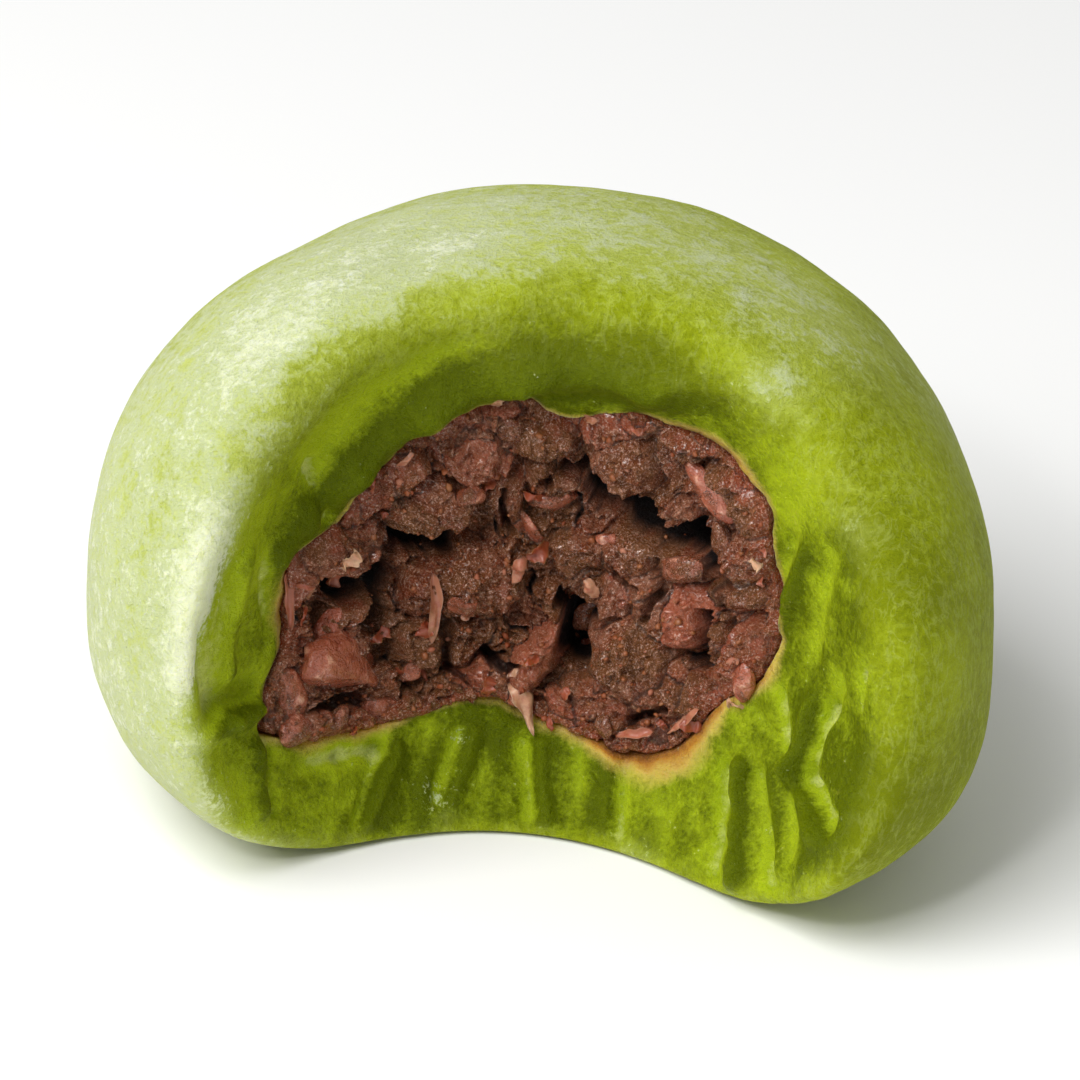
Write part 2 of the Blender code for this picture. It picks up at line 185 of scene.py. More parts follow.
# Where the bean's colour has soaked into the flesh: place, reach and amount
STAINS = (((9.4, -4.1, 26.6), 4.5, 1.0), ((7.6, -4.5, 6.4), 5.5, 1.1), ((-16.1, -7.8, 15.5), 4.5, 0.8),
          ((-13.0, -8.0, 6.4), 4.0, 0.8), ((-8.5, -4.0, 26.8), 4.0, 0.7), ((13.6, -6.4, 12.0), 4.0, 0.6))

# Painted light and shade on the dough: lighter where light glows through thin dough, darker where shade falls in
# deep folds, under the rolled rim and on the right side: place, reach and amount
PAINTED_LIGHT_AND_SHADE = (((-6.6, -4.0, 30.8), 3.0, -0.4), ((-1.0, -3.6, 32.2), 3.4, -0.7), ((4.3, -4.6, 33.0), 3.6, -1.0),
         ((8.5, -5.8, 32.0), 2.4, -0.4), ((-19.7, -14.8, 14.8), 2.4, 1.5), ((-19.5, -13.9, 18.5), 2.4, 1.5),
         ((-18.2, -11.5, 19.5), 1.9, 0.8), ((-18.8, -13.0, 23.5), 2.2, 0.9), ((-20.1, -17.0, 11.8), 2.4, 0.8),
         ((11.6, -7.5, 6.1), 3.2, 0.05), ((8.4, -7.4, 2.8), 3.0, -0.15), ((16.0, -13.2, 6.6), 3.2, 0.15),
         ((19.2, -15.7, 19.3), 2.6, 0.4), ((-9.4, -7.2, 3.0), 2.8, -1.0), ((-17.8, -15.2, 6.8), 2.6, 0.6),
         ((18.5, -15.1, 29.2), 3.4, -0.9), ((27.0, -6.0, 18.0), 13.0, -0.5), ((1.8, -5.1, 2.2), 2.6, -0.5),
         ((14.5, -8.0, 27.5), 3.0, 1.0), ((20.0, -19.9, 11.2), 4.5, -0.8), ((25.0, -14.0, 8.0), 8.0, -0.5),
         ((22.0, -15.0, 24.0), 4.0, -0.4), ((-12.0, -7.4, 5.6), 1.8, 0.6), ((-3.2, -3.2, 6.2), 2.0, -0.8),
         ((-6.8, -4.6, 4.2), 1.6, -0.4), ((0.8, -3.6, 5.4), 1.4, -0.5))


def smooth_max(a, b, blend):
    """The larger of two values; where they are closer than blend, a parabola rounds the corner between them."""
    share = np.clip(0.5 + 0.5 * (a - b) / blend, 0.0, 1.0)
    return b + (a - b) * share + blend * share * (1.0 - share)


def smooth_step(value, start, end):
    """0 before start, 1 after end, and the S curve 3t^2 - 2t^3 between them."""
    t = np.clip((value - start) / (end - start), 0.0, 1.0)
    return t * t * (3.0 - 2.0 * t)


def length_of(power, *sides):
    """The sum of the sides' sizes, each raised to a power, brought back to the power's root."""
    return sum(np.abs(side) ** power for side in sides) ** (1.0 / power)


def distance_to(points, place):
    """How far each point is from a place."""
    return np.sqrt(sum((axis - centre) ** 2 for axis, centre in zip(points, place)))


def cake_form(points):
    """The unbitten cake, negative inside: a superellipse in plan, widened by a few slow waves around it, and
    superellipses of unlike powers for the dome above the widest level and the sag below it."""
    x, y, z = points
    height = z - WIDEST_HEIGHT
    x = x - LEAN * height
    angle = np.arctan2(y, x)
    wave = 1.0 + sum(c * np.cos(n * angle) + s * np.sin(n * angle) for n, (c, s) in PLAN_WAVES.items())
    plan = length_of(PLAN_POWER, x / CAKE_HALF_WIDTH, y / CAKE_HALF_DEPTH) / wave
    dome = length_of(DOME_POWER, plan, height / (CAKE_TOP - WIDEST_HEIGHT))
    depth_below = WIDEST_HEIGHT / (1.0 - CONTACT_SHARE ** SAG_POWER) ** (1.0 / SAG_POWER)
    sag = length_of(SAG_POWER, plan, height / depth_below)
    return (np.where(height > 0.0, dome, sag) - 1.0) * 20.0


def bite_form(points):
    """The bite, negative inside: an ellipsoid that leans back, higher above its centre than below."""
    x, y, z = (axis - centre for axis, centre in zip(points, BITE_CENTRE))
    forward = y * math.cos(BITE_LEAN) - z * math.sin(BITE_LEAN)
    upward = z * math.cos(BITE_LEAN) + y * math.sin(BITE_LEAN)
    half_height = np.where(upward > 0.0, BITE_UPPER, BITE_LOWER)
    return (length_of(2.0, x / BITE_HALF_WIDTH, forward / BITE_REACH, upward / half_height) - 1.0) * 20.0


def ball_form(points):
    """The ball of filling, negative inside: an ellipse in plan with a round dome and a nearly flat floor.

    All of it is wider or narrower in some directions round the Y axis, and slightly ragged, less near that axis.
    """
    x, y, z = (axis - centre for axis, centre in zip(points, FILLING_CENTRE))
    across = length_of(2.0, x / FILLING_HALF_WIDTH, y / FILLING_HALF_DEPTH)
    dome = length_of(FILLING_DOME_POWER, across, z / FILLING_UPPER)
    floor = length_of(FILLING_FLOOR_POWER, across, z / FILLING_LOWER)
    direction = np.arctan2(z, x)
    bulge = 0.014 * waver((7.0 * np.cos(direction), 7.0 * np.sin(direction), 0.0 * direction), 1.0, 12, octaves=3)
    for place, width, share in FILLING_BULGES:
        away = (direction - math.radians(place) + math.pi) % (2.0 * math.pi) - math.pi
        bulge = bulge + share * np.exp(-(away / math.radians(width)) ** 2)
    sideways = (x ** 2 + z ** 2) / (x ** 2 + y ** 2 + z ** 2)
    bulge = 1.0 + bulge * np.minimum(1.0, BULGE_REACH * sideways)
    return (np.where(z > 0.0, dome, floor) / bulge - 1.0) * 15.0


def whole_form(points):
    """The bitten cake: the cake less the bite, rounded over at the rim, more so above and on the +X side, and cut
    flat by the table."""
    x, _, z = points
    roll = RIM_ROLL + RIM_ROLL_ABOVE * smooth_step(z, 20.0, 31.0)
    roll = roll + RIM_ROLL_RIGHT * smooth_step(x, 10.0, 18.0) * smooth_step(z, 6.0, 14.0)
    bitten = smooth_max(cake_form(points), -bite_form(points), roll)
    return smooth_max(bitten, -points[2], UNDERSIDE_ROUNDING)


def inside_rim(points):
    """Positive on the bitten face, and negative on the outside and the underside."""
    return -bite_form(points) - np.maximum(cake_form(points), -points[2])


def meet(form, core, around, from_front):
    """The points where rays meet a form, found by halving each ray.

    A ray leaves an oval core square to it, at an angle around the Y axis and an angle from the front pole.
    """
    centre, radii = (np.array(value).reshape(3, *[1] * around.ndim) for value in core)
    unit = np.array([np.sin(from_front) * np.cos(around), -np.cos(from_front), np.sin(from_front) * np.sin(around)])
    start = unit * radii + centre
    ray = unit / radii
    ray /= np.linalg.norm(ray, axis=0)
    near = np.zeros(around.shape)
    far = np.full(around.shape, LONGEST_RAY)
    for _ in range(HALVINGS):
        middle = 0.5 * (near + far)
        inside = form(start + ray * middle) < 0.0
        near = np.where(inside, middle, near)
        far = np.where(inside, far, middle)
    return start + ray * near


def profiles(form, core, columns, crowding=0.0):
    """Fine profiles of a form from its front pole to its back pole, one for each column around it.

    The columns are drawn towards the lowest one. Returns the columns' angles, the rays' angles from the front, the points and the distance run along each.
    """
    around = np.arange(columns) * 2.0 * math.pi / columns
    around = around - crowding * np.cos(around)
    side = np.linspace(-1.0, 1.0, PROFILE_SAMPLES)
    from_front = 0.5 * math.pi * (1.0 + np.sign(side) * np.abs(side) ** CORE_EDGE_CROWDING)
    points = meet(form, core, *np.meshgrid(around, from_front))
    steps = np.linalg.norm(np.diff(points, axis=1), axis=0)
    along = np.vstack([np.zeros(columns), np.cumsum(steps, axis=0)])
    return around, from_front, points, along


def crossing(values, along):
    """The distance along each column at which its values first turn from negative to positive, by proportion."""
    after = np.argmax(values > 0.0, axis=0)
    columns = np.arange(values.shape[1])
    low, high = values[after - 1, columns], values[after, columns]
    share = low / (low - high)
    return along[after - 1, columns] * (1.0 - share) + along[after, columns] * share


def at_distance(wanted, along, from_front):
    """The ray angles at the wanted distances along each column."""
    return np.stack([np.interp(want, run, from_front) for want, run in zip(wanted.T, along.T)], axis=1)


def surface_normals(points, wrap=True):
    """Unit normals of a grid of points: the cross product of its two directions' differences."""
    if wrap:
        across = np.roll(points, -1, axis=2) - np.roll(points, 1, axis=2)
    else:
        across = np.gradient(points, axis=2)
    normals = np.cross(across, np.gradient(points, axis=1), axis=0)
    return normals / np.maximum(np.linalg.norm(normals, axis=0), 1e-12)


def cell_chance(cell, seed):
    """A repeatable random share for each lattice cell: its three numbers times large primes, with the bits mixed."""
    primes = (np.uint64(73856093), np.uint64(19349663), np.uint64(83492791))
    mixed = sum(axis.astype(np.int64).astype(np.uint64) * prime for axis, prime in zip(cell, primes))
    mixed = (mixed + np.uint64(seed) * np.uint64(2654435761)) & np.uint64(0xFFFFFFFF)
    mixed = ((mixed ^ (mixed >> np.uint64(15))) * np.uint64(2246822519)) & np.uint64(0xFFFFFFFF)
    mixed = ((mixed ^ (mixed >> np.uint64(13))) * np.uint64(3266489917)) & np.uint64(0xFFFFFFFF)
    return (mixed ^ (mixed >> np.uint64(16))).astype(float) / 4294967295.0


def waver(points, size, seed, octaves=1):
    """Smooth random relief between -1 and 1: chances on a cubic lattice, blended by S curves; each further octave
    has half the size and half the height."""
    total = 0.0
    for octave in range(octaves):
        place = np.array(points) * 2.0 ** octave / size
        cell = np.floor(place)
        part = place - cell
        part = part * part * (3.0 - 2.0 * part)
        for corner in np.ndindex(2, 2, 2):
            weight = np.prod([p if c else 1.0 - p for p, c in zip(part, corner)], axis=0)
            chance = cell_chance([axis + c for axis, c in zip(cell, corner)], seed + octave)
            total = total + weight * (2.0 * chance - 1.0) * 0.5 ** octave
    return total


def between(points, start, end):
    """How far each point is from the straight stretch between two places."""
    start, end = np.array(start), np.array(end)
    run = end - start
    offset = np.stack([axis - centre for axis, centre in zip(points, start)], axis=-1)
    share = np.clip(offset @ run / (run @ run), 0.0, 1.0)
    return np.linalg.norm(offset - share[..., None] * run, axis=-1)


def patches(points, places):
    """The sum of soft round patches, each with its place, reach and amount."""
    return sum(amount * np.exp(-(distance_to(points, place) / reach) ** 2) for place, reach, amount in places)


def flesh_relief(points, inward, past_rim, column):
    """How far the torn flesh stands out from the smooth bite: tooth ridges with one steep flank, folds, stretched
    fibres and lumps. Also returns its ridges and creases without the lumps, for painted highlights on the ridges
    and painted shade in the creases.

    inward is the distance from the filling's edge, past_rim the distance beyond the rim, and column the place
    around the bite as a share of a turn.
    """
    x, y, z = points
    low = smooth_step(z, 11.5, 8.0)
    relief = np.zeros_like(x)
    for place, slant, width, height in TOOTH_RIDGES:
        side = (x - place - slant * (z - 1.0) + 0.5 * waver(points, 2.6, 31)) / width
        side = np.where(side > 0.0, side * RIDGE_STEEPNESS, side)
        ridge = np.exp(-np.abs(side) ** 1.5) - 0.5 * np.exp(-((side - 2.6) / 1.8) ** 2)
        relief += 1.3 * height * low * ridge * (0.85 + 0.5 * waver(points, 1.8, 32))
    for start, end, half_width, height in FOLDS:
        away = np.maximum(between(points, start, end) + 0.3 * waver(points, 1.6, 37), 0.0)
        relief += height * np.exp(-(away / half_width) ** 2)
    fibres = waver((column * 210.0, inward * 0.22, past_rim * 0.0), 1.0, 33, octaves=2)
    upper = 0.45 + smooth_step(z, 22.0, 30.0)
    relief += 0.07 * upper * fibres
    crest = relief + 0.06 * waver(points, 0.8, 38, octaves=2)
    relief += 0.30 * waver(points, 5.0, 34, octaves=2) + 0.08 * waver(points, 1.1, 35, octaves=2)
    lip = 0.32 * (0.6 + waver(points, 2.4, 36)) * np.exp(-(inward / 0.6) ** 2)
    return relief + lip, crest


def outside_relief(points, past_rim, column):
    """Soft dents of the hand that shaped it, and fine creases where the skin stretches over the rim."""
    wrinkles = waver((column * 150.0, past_rim * 0.30, past_rim * 0.0), 1.0, 41, octaves=2)
    near_rim = np.exp(-(past_rim / 4.5) ** 2)
    dents = 0.34 * waver(points, 9.0, 42) + 0.10 * waver(points, 3.6, 43) + 0.025 * waver(points, 1.2, 44)
    return dents + 0.05 * near_rim * wrinkles


def ring_faces(rings, columns, first=0):
    """The quads of a grid whose last column meets its first, as rows of four vertex numbers."""
    ring, column = np.meshgrid(np.arange(rings - 1) * columns, np.arange(columns), indexing="ij")
    beside = (column + 1) % columns
    quads = np.stack([ring + column, ring + beside, ring + columns + beside, ring + columns + column], axis=-1)
    return quads.reshape(-1, 4) + first


def pole_faces(columns, first, pole):
    """The triangles between one ring and a pole."""
    column = np.arange(columns)
    return np.stack([first + column, first + (column + 1) % columns, np.full(columns, pole)], axis=-1)


def enclosed(points, faces):
    """The volume inside closed faces, by summing each face's fan of tetrahedra from the origin."""
    corners = points[faces]
    total = 0.0
    for step in range(1, faces.shape[1] - 1):
        total += np.einsum("ij,ij->i", corners[:, 0], np.cross(corners[:, step], corners[:, step + 1])).sum()
    return total / 6.0


def make_piece(name, points, face_sets, node, numbers=(), flat_map=None):
    """A mesh object from points in the cake's millimetres and arrays of faces, turned to face outwards.

    numbers are a value for each point, by name, and flat_map gives each point's place on its texture.
    """
    outwards = sum(enclosed(points, faces) for faces in face_sets) > 0.0
    corners = [faces if outwards else faces[:, ::-1] for faces in face_sets]
    mesh = bpy.data.meshes.new(name)
    faces = [face for group in corners for face in group.tolist()]
    mesh.from_pydata(((points - BOX_CENTRE) * MM).tolist(), [], faces)
    for label, values in dict(numbers).items():
        layer = mesh.attributes.new(label, "FLOAT", "POINT")
        layer.data.foreach_set("value", np.asarray(values, dtype=np.float32).ravel())
    if flat_map is not None:
        of_corner = np.concatenate([group.ravel() for group in corners])
        layer = mesh.uv_layers.new(name="OFBake")
        layer.uv.foreach_set("vector", flat_map[of_corner].astype(np.float32).ravel())
    mesh.shade_smooth()
    mesh.update()
    piece = bpy.data.objects.new(name, mesh)
    bpy.context.scene.collection.objects.link(piece)
    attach(piece, "root")
    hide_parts(node)
    return piece


def rice_skin():
    """The skin's points and faces, numbers for its material, and its flat map."""
    around, from_front, fine, along = profiles(whole_form, SKIN_CORE, SKIN_COLUMNS, SKIN_CROWDING)
    filling_edge = crossing(ball_form(fine), along)
    rim = crossing(-inside_rim(fine), along)
    back = along[-1]
    flesh_share = np.linspace(0.0, 1.0, FLESH_RINGS)[:, None]
    outside_share = np.linspace(0.0, 1.0, OUTSIDE_RINGS + 1)[1:-1, None] ** OUTSIDE_CROWDING
    wanted = np.vstack([filling_edge + (rim - filling_edge) * flesh_share, rim + (back - rim) * outside_share])
    angles = at_distance(wanted, along, from_front)
    columns = np.broadcast_to(around, angles.shape)
    smooth = meet(whole_form, SKIN_CORE, columns, angles)
    inward = wanted - filling_edge
    past_rim = wanted - rim
    turn = columns / (2.0 * math.pi)

    flesh = smooth_step(past_rim + 0.8 * waver(smooth, 2.5, 21, octaves=2), 0.9, -1.6 - 3.6 * smooth_step(smooth[2], 16.0, 28.0))
    torn, crest = flesh_relief(smooth, inward, past_rim, turn)
    relief = flesh * torn + (1.0 - flesh) * outside_relief(smooth, past_rim, turn)
    relief *= smooth_step(smooth[2], 0.0, 1.8)
    sheet = smooth + relief * surface_normals(smooth)

    edge = sheet[:, 0] - np.array(FILLING_CENTRE)[:, None]
    radius = np.linalg.norm(edge, axis=0)
    from_back = np.arccos(edge[1] / radius)
    longitude = np.arctan2(edge[2], edge[0])
    shares = np.linspace(1.0, 0.0, SEAT_RINGS + 2)[1:-1, None]
    polar = from_back * shares
    ray = np.array([np.sin(polar) * np.cos(longitude), np.cos(polar) + 0.0 * longitude, np.sin(polar) * np.sin(longitude)])
    reach = 1.0 / (ball_form(ray * 1e-6 + np.array(FILLING_CENTRE)[:, None, None]) / 15.0 + 1.0) * 1e-6
    seat = ray * reach + np.array(FILLING_CENTRE)[:, None, None]

    grid = np.concatenate([seat[:, ::-1], sheet], axis=1)
    rings = grid.shape[1]
    seat_pole = [FILLING_CENTRE[0], FILLING_CENTRE[1] + FILLING_HALF_DEPTH, FILLING_CENTRE[2]]
    back_pole = sheet[:, -1].mean(axis=1)
    points = np.vstack([grid.reshape(3, -1).T, [seat_pole, back_pole]])
    count = rings * SKIN_COLUMNS
    faces = [ring_faces(rings, SKIN_COLUMNS),
             pole_faces(SKIN_COLUMNS, 0, count)[:, ::-1],
             pole_faces(SKIN_COLUMNS, (rings - 1) * SKIN_COLUMNS, count + 1)]

    amount = patches(smooth, STAINS)
    width = 0.30 + 1.1 * amount * (0.75 + 0.6 * waver(smooth, 2.0, 22, octaves=2))
    stain = np.exp(-(inward / width) ** 1.5) * np.clip(0.3 + 0.7 * amount + 0.4 * waver(smooth, 3.0, 24), 0.0, 1.0)
    rubbed = smooth_step(past_rim + 1.5 * waver(smooth, 3.0, 25, octaves=2), 4.2, 0.3) * smooth_step(smooth[2], 16.0, 26.0)
    powder = patches(smooth, POWDER_PATCHES) * (1.0 - flesh) * (1.0 - 0.8 * rubbed) + patches(smooth, RIM_POWDER)
    pale = sum(amount * np.exp(-((between(smooth, start, end) + 0.4 * waver(smooth, 0.9, 23)) / half_width) ** 2)
               for start, end, half_width, amount in PALE_STREAKS)
    pad = np.zeros((SEAT_RINGS, SKIN_COLUMNS))
    numbers = {label: np.append(np.vstack([pad + inner, values]).ravel(), [inner, values[-1].mean()])
               for label, values, inner in (("flesh", flesh, 1.0), ("stain", stain, 1.0), ("powder", powder, 0.0),
                                            ("crest", crest * flesh, 0.0), ("pale", pale, 0.0),
                                            ("lit", patches(smooth, PAINTED_LIGHT_AND_SHADE), -0.5))}

    ring_radius = np.concatenate([np.linspace(0.995, 0.93, SEAT_RINGS), np.linspace(0.925, 0.52, FLESH_RINGS),
                                  np.linspace(0.515, 0.01, OUTSIDE_RINGS - 1)])[:, None] * 0.5
    flat = np.stack([0.5 + ring_radius * np.cos(around), 0.5 + ring_radius * np.sin(around)], axis=-1).reshape(-1, 2)
    flat = np.vstack([flat, [[0.999, 0.999], [0.5, 0.5]]])
    return points, faces, numbers, flat


class Shade:
    """One socket of a material's nodes. Sums, products and powers of shades add the Math nodes they stand for."""

    def __init__(self, tree, socket=None):
        self.tree = tree
        self.socket = socket

    def node(self, kind, settings=(), inputs=(), output=0):
        """Adds a node, sets its settings and then its sockets, and returns the shade of one of its outputs."""
        node = self.tree.nodes.new(kind)
        for key, value in dict(settings).items():
            if key == "stops":
                ramp = node.color_ramp
                while len(ramp.elements) < len(value):
                    ramp.elements.new(0.5)
                for element, (place, colour) in zip(ramp.elements, value):
                    element.position = place
                    element.color = (*colour, 1.0)
            else:
                setattr(node, key, value)
        for key, value in dict(inputs).items():
            if isinstance(value, Shade):
                self.tree.links.new(value.socket, node.inputs[key])
            else:
                node.inputs[key].default_value = value
        return Shade(self.tree, node.outputs[output])

    def math(self, operation, other=None, third=None):
        values = [value for value in (self, other, third) if value is not None]
        return self.node("ShaderNodeMath", {"operation": operation}, dict(enumerate(values)))

    def __add__(self, other):
        return self.math("ADD", other)

    def __sub__(self, other):
        return self.math("SUBTRACT", other)

    def __rsub__(self, other):
        return self.node("ShaderNodeMath", {"operation": "SUBTRACT"}, {0: other, 1: self})

    def __mul__(self, other):
        return self.math("MULTIPLY", other)

    def __truediv__(self, other):
        return self.math("DIVIDE", other)

    def __pow__(self, other):
        return self.math("POWER", other)

    __radd__ = __add__
    __rmul__ = __mul__

    def clamped(self):
        return self.node("ShaderNodeClamp", inputs={0: self})

    def step(self, start, end):
        """0 before start, 1 after end, smooth between."""
        return self.node("ShaderNodeMapRange", {"interpolation_type": "SMOOTHSTEP"}, {0: self, 1: start, 2: end})

    def colour_mix(self, first, second):
        """first where this shade is 0 and second where it is 1."""
        colours = [value if isinstance(value, Shade) else (*value, 1.0) for value in (first, second)]
        return self.node("ShaderNodeMix", {"data_type": "RGBA"}, {0: self, 6: colours[0], 7: colours[1]}, 2)

    def attribute(self, name):
        return self.node("ShaderNodeAttribute", {"attribute_name": name}, output=2)

    def noise(self, size, detail=3.0, roughness=0.55, stretch=(1.0, 1.0, 1.0), distortion=0.0):
        """Noise between 0 and 1 with features of a size in millimetres, on the piece's Object coordinates."""
        place = self.node("ShaderNodeTexCoord", output=3)
        scaled = self.node("ShaderNodeMapping", inputs={0: place, 3: [1.0 / (s * size * MM) for s in stretch]})
        return self.node("ShaderNodeTexNoise", inputs={
            "Vector": scaled, "Scale": 1.0, "Detail": detail, "Roughness": roughness, "Distortion": distortion})

    def cells(self, size, feature="F1", output=0, randomness=1.0):
        """Distances to the nearest of scattered points, with cells of a size in millimetres."""
        place = self.node("ShaderNodeTexCoord", output=3)
        scaled = self.node("ShaderNodeMapping", inputs={0: place, 3: [1.0 / (size * MM)] * 3})
        return self.node("ShaderNodeTexVoronoi", {"feature": feature},
                         {"Vector": scaled, "Scale": 1.0, "Randomness": randomness}, output)

    def bump(self, height, depth, below=None):
        """The normal of a surface whose height runs over a depth in millimetres, on top of another normal."""
        inputs = {"Strength": 1.0, "Distance": depth * MM, "Height": height}
        if below is not None:
            inputs["Normal"] = below
        return self.node("ShaderNodeBump", inputs=inputs)


def food_material(piece, name, constants):
    """A new Principled material on a piece, with its constants set. Returns its shade and its shader node."""
    material = bpy.data.materials.new(name)
    material.use_nodes = True
    tree = material.node_tree
    shader = tree.nodes["Principled BSDF"]
    for key, value in constants.items():
        shader.inputs[key].default_value = value
    piece.data.materials.append(material)
    return Shade(tree), shader


def feed(shader, **shades):
    """Links shades to the shader's sockets of those names, with _ for a space."""
    for key, shade in shades.items():
        shade.tree.links.new(shade.socket, shader.inputs[key.replace("_", " ")])


skin_points, skin_faces, skin_numbers, skin_flat = rice_skin()
skin = make_piece("rice_dough_skin", skin_points, skin_faces, "rice_skin",
                  skin_numbers, skin_flat)

DOUGH_GREEN = (0.36, 0.43, 0.010)
DOUGH_DEEP_GREEN = (0.20, 0.24, 0.002)
DOUGH_PALE = (0.50, 0.56, 0.16)
FLESH_GREEN = (0.10, 0.13, 0.0004)
FLESH_LIGHT = (0.36, 0.45, 0.010)
FLESH_PALE = (0.60, 0.66, 0.17)
STARCH_CREAM = (0.50, 0.555, 0.30)
STARCH_WHITE = (0.76, 0.79, 0.60)
STARCH_DAMP = (0.62, 0.69, 0.36)
STAIN_TAN = (0.60, 0.44, 0.10)
STAIN_AMBER = (0.46, 0.20, 0.03)
STAIN_BROWN = (0.16, 0.05, 0.018)

shade, shader = food_material(skin, "matcha_rice_dough_dusted", {
    "Subsurface Weight": 0.7, "Subsurface Radius": (1.0, 1.0, 0.2), "Subsurface Scale": 2.6 * MM,
    "Specular IOR Level": 0.08})
flesh = shade.attribute("flesh")
stain = shade.attribute("stain")
powder = shade.attribute("powder")
crest = shade.attribute("crest")
pale = shade.attribute("pale")
lit = shade.attribute("lit")
broad = shade.noise(7.0, 2.0)
patchy = shade.noise(2.8, 4.0, 0.6, stretch=(1.5, 1.0, 0.8), distortion=0.9)
flecks = shade.noise(0.75, 4.0, 0.68, distortion=0.5)
grain = shade.noise(0.32, 3.0, 0.7)
fine = shade.noise(0.13, 2.0, 0.6)
folded = shade.noise(1.1, 3.0, 0.6, stretch=(1.0, 1.0, 2.6), distortion=0.6)
lines = (1.0 - (folded - 0.5).math("ABSOLUTE") * 22.0).clamped() * (broad + 0.35).clamped()
wisps = (patchy - 0.5) * 3.4 + (flecks - 0.5) * 3.4 + (grain - 0.5) * 2.6
lie = powder + wisps * ((powder * (1.9 - powder)).clamped() * 0.7 + 0.2)
pores = ((shade.noise(0.5, 3.0, 0.7, distortion=0.6) - 0.54) * 7.0).clamped()
veil = ((lie - 0.30) * 1.5).clamped() * (1.0 - flesh) * (1.0 - pores * 0.45)
spilt = ((powder * 1.1 + (flecks - 0.5) * 2.4 + (grain - 0.5) * 4.6 - 0.95) * 1.6).clamped() * (flesh * 3.0).clamped()
thick = ((lie - 1.25) * 1.2).clamped()
# The outside's tone: painted light and shade from lit, darker on the shaded right side, and random mottling
tone = (0.66 + lit * 0.8 + (broad - 0.5) * 1.8 + (flecks - 0.5) * 1.2 + (grain - 0.5) * 1.2).clamped()
outside_colour = (powder * 0.9 + (flecks - 0.5) * 0.6 + lines * 0.28).clamped().colour_mix(
    tone.colour_mix(DOUGH_DEEP_GREEN, DOUGH_GREEN), DOUGH_PALE)
dusted = (veil * 0.88).colour_mix(outside_colour, thick.colour_mix(STARCH_CREAM, STARCH_WHITE))
mottle = shade.noise(2.2, 4.0, 0.6, distortion=0.3)
# The flesh's tone: painted light and shade from lit, painted highlights on the ridges and painted shade in the creases,
# and random mottling
flesh_tone = (0.48 + lit + crest * 1.9 + (mottle - 0.5) * 1.5 + (grain - 0.5) * 1.5 + (broad - 0.5) * 1.2).clamped()
flesh_colour = flesh_tone.colour_mix(FLESH_GREEN, FLESH_LIGHT)
# Pale film on the flesh: pale streaks, starch and random flecks, with painted highlights on the ridges and where the
# dough is painted lit
film = (pale * (0.7 + flecks * 1.3) + powder * (0.5 + (flecks - 0.5) * 3.0) + (crest - 0.34) * 1.4 + (flecks - 0.66) * 1.8 + (lit - 0.5) * 0.8).clamped()
flesh_colour = (film * 0.9).colour_mix(flesh_colour, FLESH_PALE)
soak = stain + (grain - 0.5) * 0.35 + (mottle - 0.5) * 0.5
stained = ((soak - 0.10) * 2.2).clamped().colour_mix(flesh_colour, STAIN_TAN)
stained = ((soak - 0.48) * 2.6).clamped().colour_mix(stained, STAIN_AMBER)
stained = ((soak - 0.82) * 3.0).clamped().colour_mix(stained, STAIN_BROWN)
skin_colour = (spilt * 0.85).colour_mix(flesh.colour_mix(dusted, stained), ((powder - 0.9) * 1.6).clamped().colour_mix(STARCH_DAMP, STARCH_WHITE))
skin_bump = shade.bump(patchy, 0.25)
skin_bump = shade.bump(flecks, 0.34, skin_bump)
skin_bump = shade.bump(grain, 0.34, skin_bump)
skin_bump = shade.bump(fine, 0.09, skin_bump)
feed(shader, Base_Color=skin_colour, Normal=skin_bump,
     Roughness=(0.60 + veil * 0.25 - flesh * 0.22 + (grain - 0.5) * 0.25))


# ---- The bean paste -------------------------------------------------------------------------------------
# Azuki beans boiled soft with sugar and half crushed: a coarse, grainy brown mash that fills the skin. The bite
# broke it open, so its face is lumpy, with clefts round the beans and a few deep hollows where beans fell out.

FILLING_CORE = ((-1.2, 8.5, 15.0), (13.0, 1.5, 7.0))
FILLING_EDGE = 0.9
PASTE_COLUMNS = 360
PASTE_TABLE_RINGS = 60
PASTE_SIDE = 281                # points along each side of the face's square grid
PASTE_SKIRT_RINGS = 7
# Hollows and clefts in the bitten face: from one X and Z to another, half width and depth
HOLLOWS = ((-12.6, 15.6, -10.9, 16.8, 0.9, 3.0), (-10.9, 16.8, -7.2, 18.0, 1.0, 4.0), (-10.4, 16.6, -10.7, 12.8, 0.9, 3.2),
           (1.4, 23.0, 3.2, 21.9, 0.6, 2.6), (3.2, 21.9, 6.6, 19.9, 1.2, 4.6), (6.6, 19.9, 8.4, 20.3, 0.9, 3.8),
           (9.4, 19.4, 10.9, 18.0, 0.75, 3.2), (0.4, 14.4, 2.2, 13.4, 0.8, 3.6), (2.1, 13.4, 1.6, 11.4, 1.25, 4.6),
           (-3.0, 9.8, -1.6, 9.3, 0.4, 2.2), (9.9, 15.5, 10.2, 11.2, 0.35, 2.2), (-3.0, 21.2, -2.3, 18.1, 0.3, 1.8),
           (-6.2, 12.1, -4.5, 8.6, 0.35, 1.6), (5.8, 7.4, 7.9, 8.7, 0.3, 1.4), (-14.0, 8.7, -9.6, 7.8, 0.4, 2.0),
           (-0.4, 22.0, 0.2, 21.7, 0.3, 1.6), (-8.0, 23.2, -5.9, 21.6, 0.3, 1.3), (3.0, 17.2, 5.4, 16.0, 0.3, 1.2),
           (-13.8, 17.0, -14.2, 13.0, 0.35, 1.4), (7.2, 17.6, 6.4, 14.0, 0.3, 1.2))


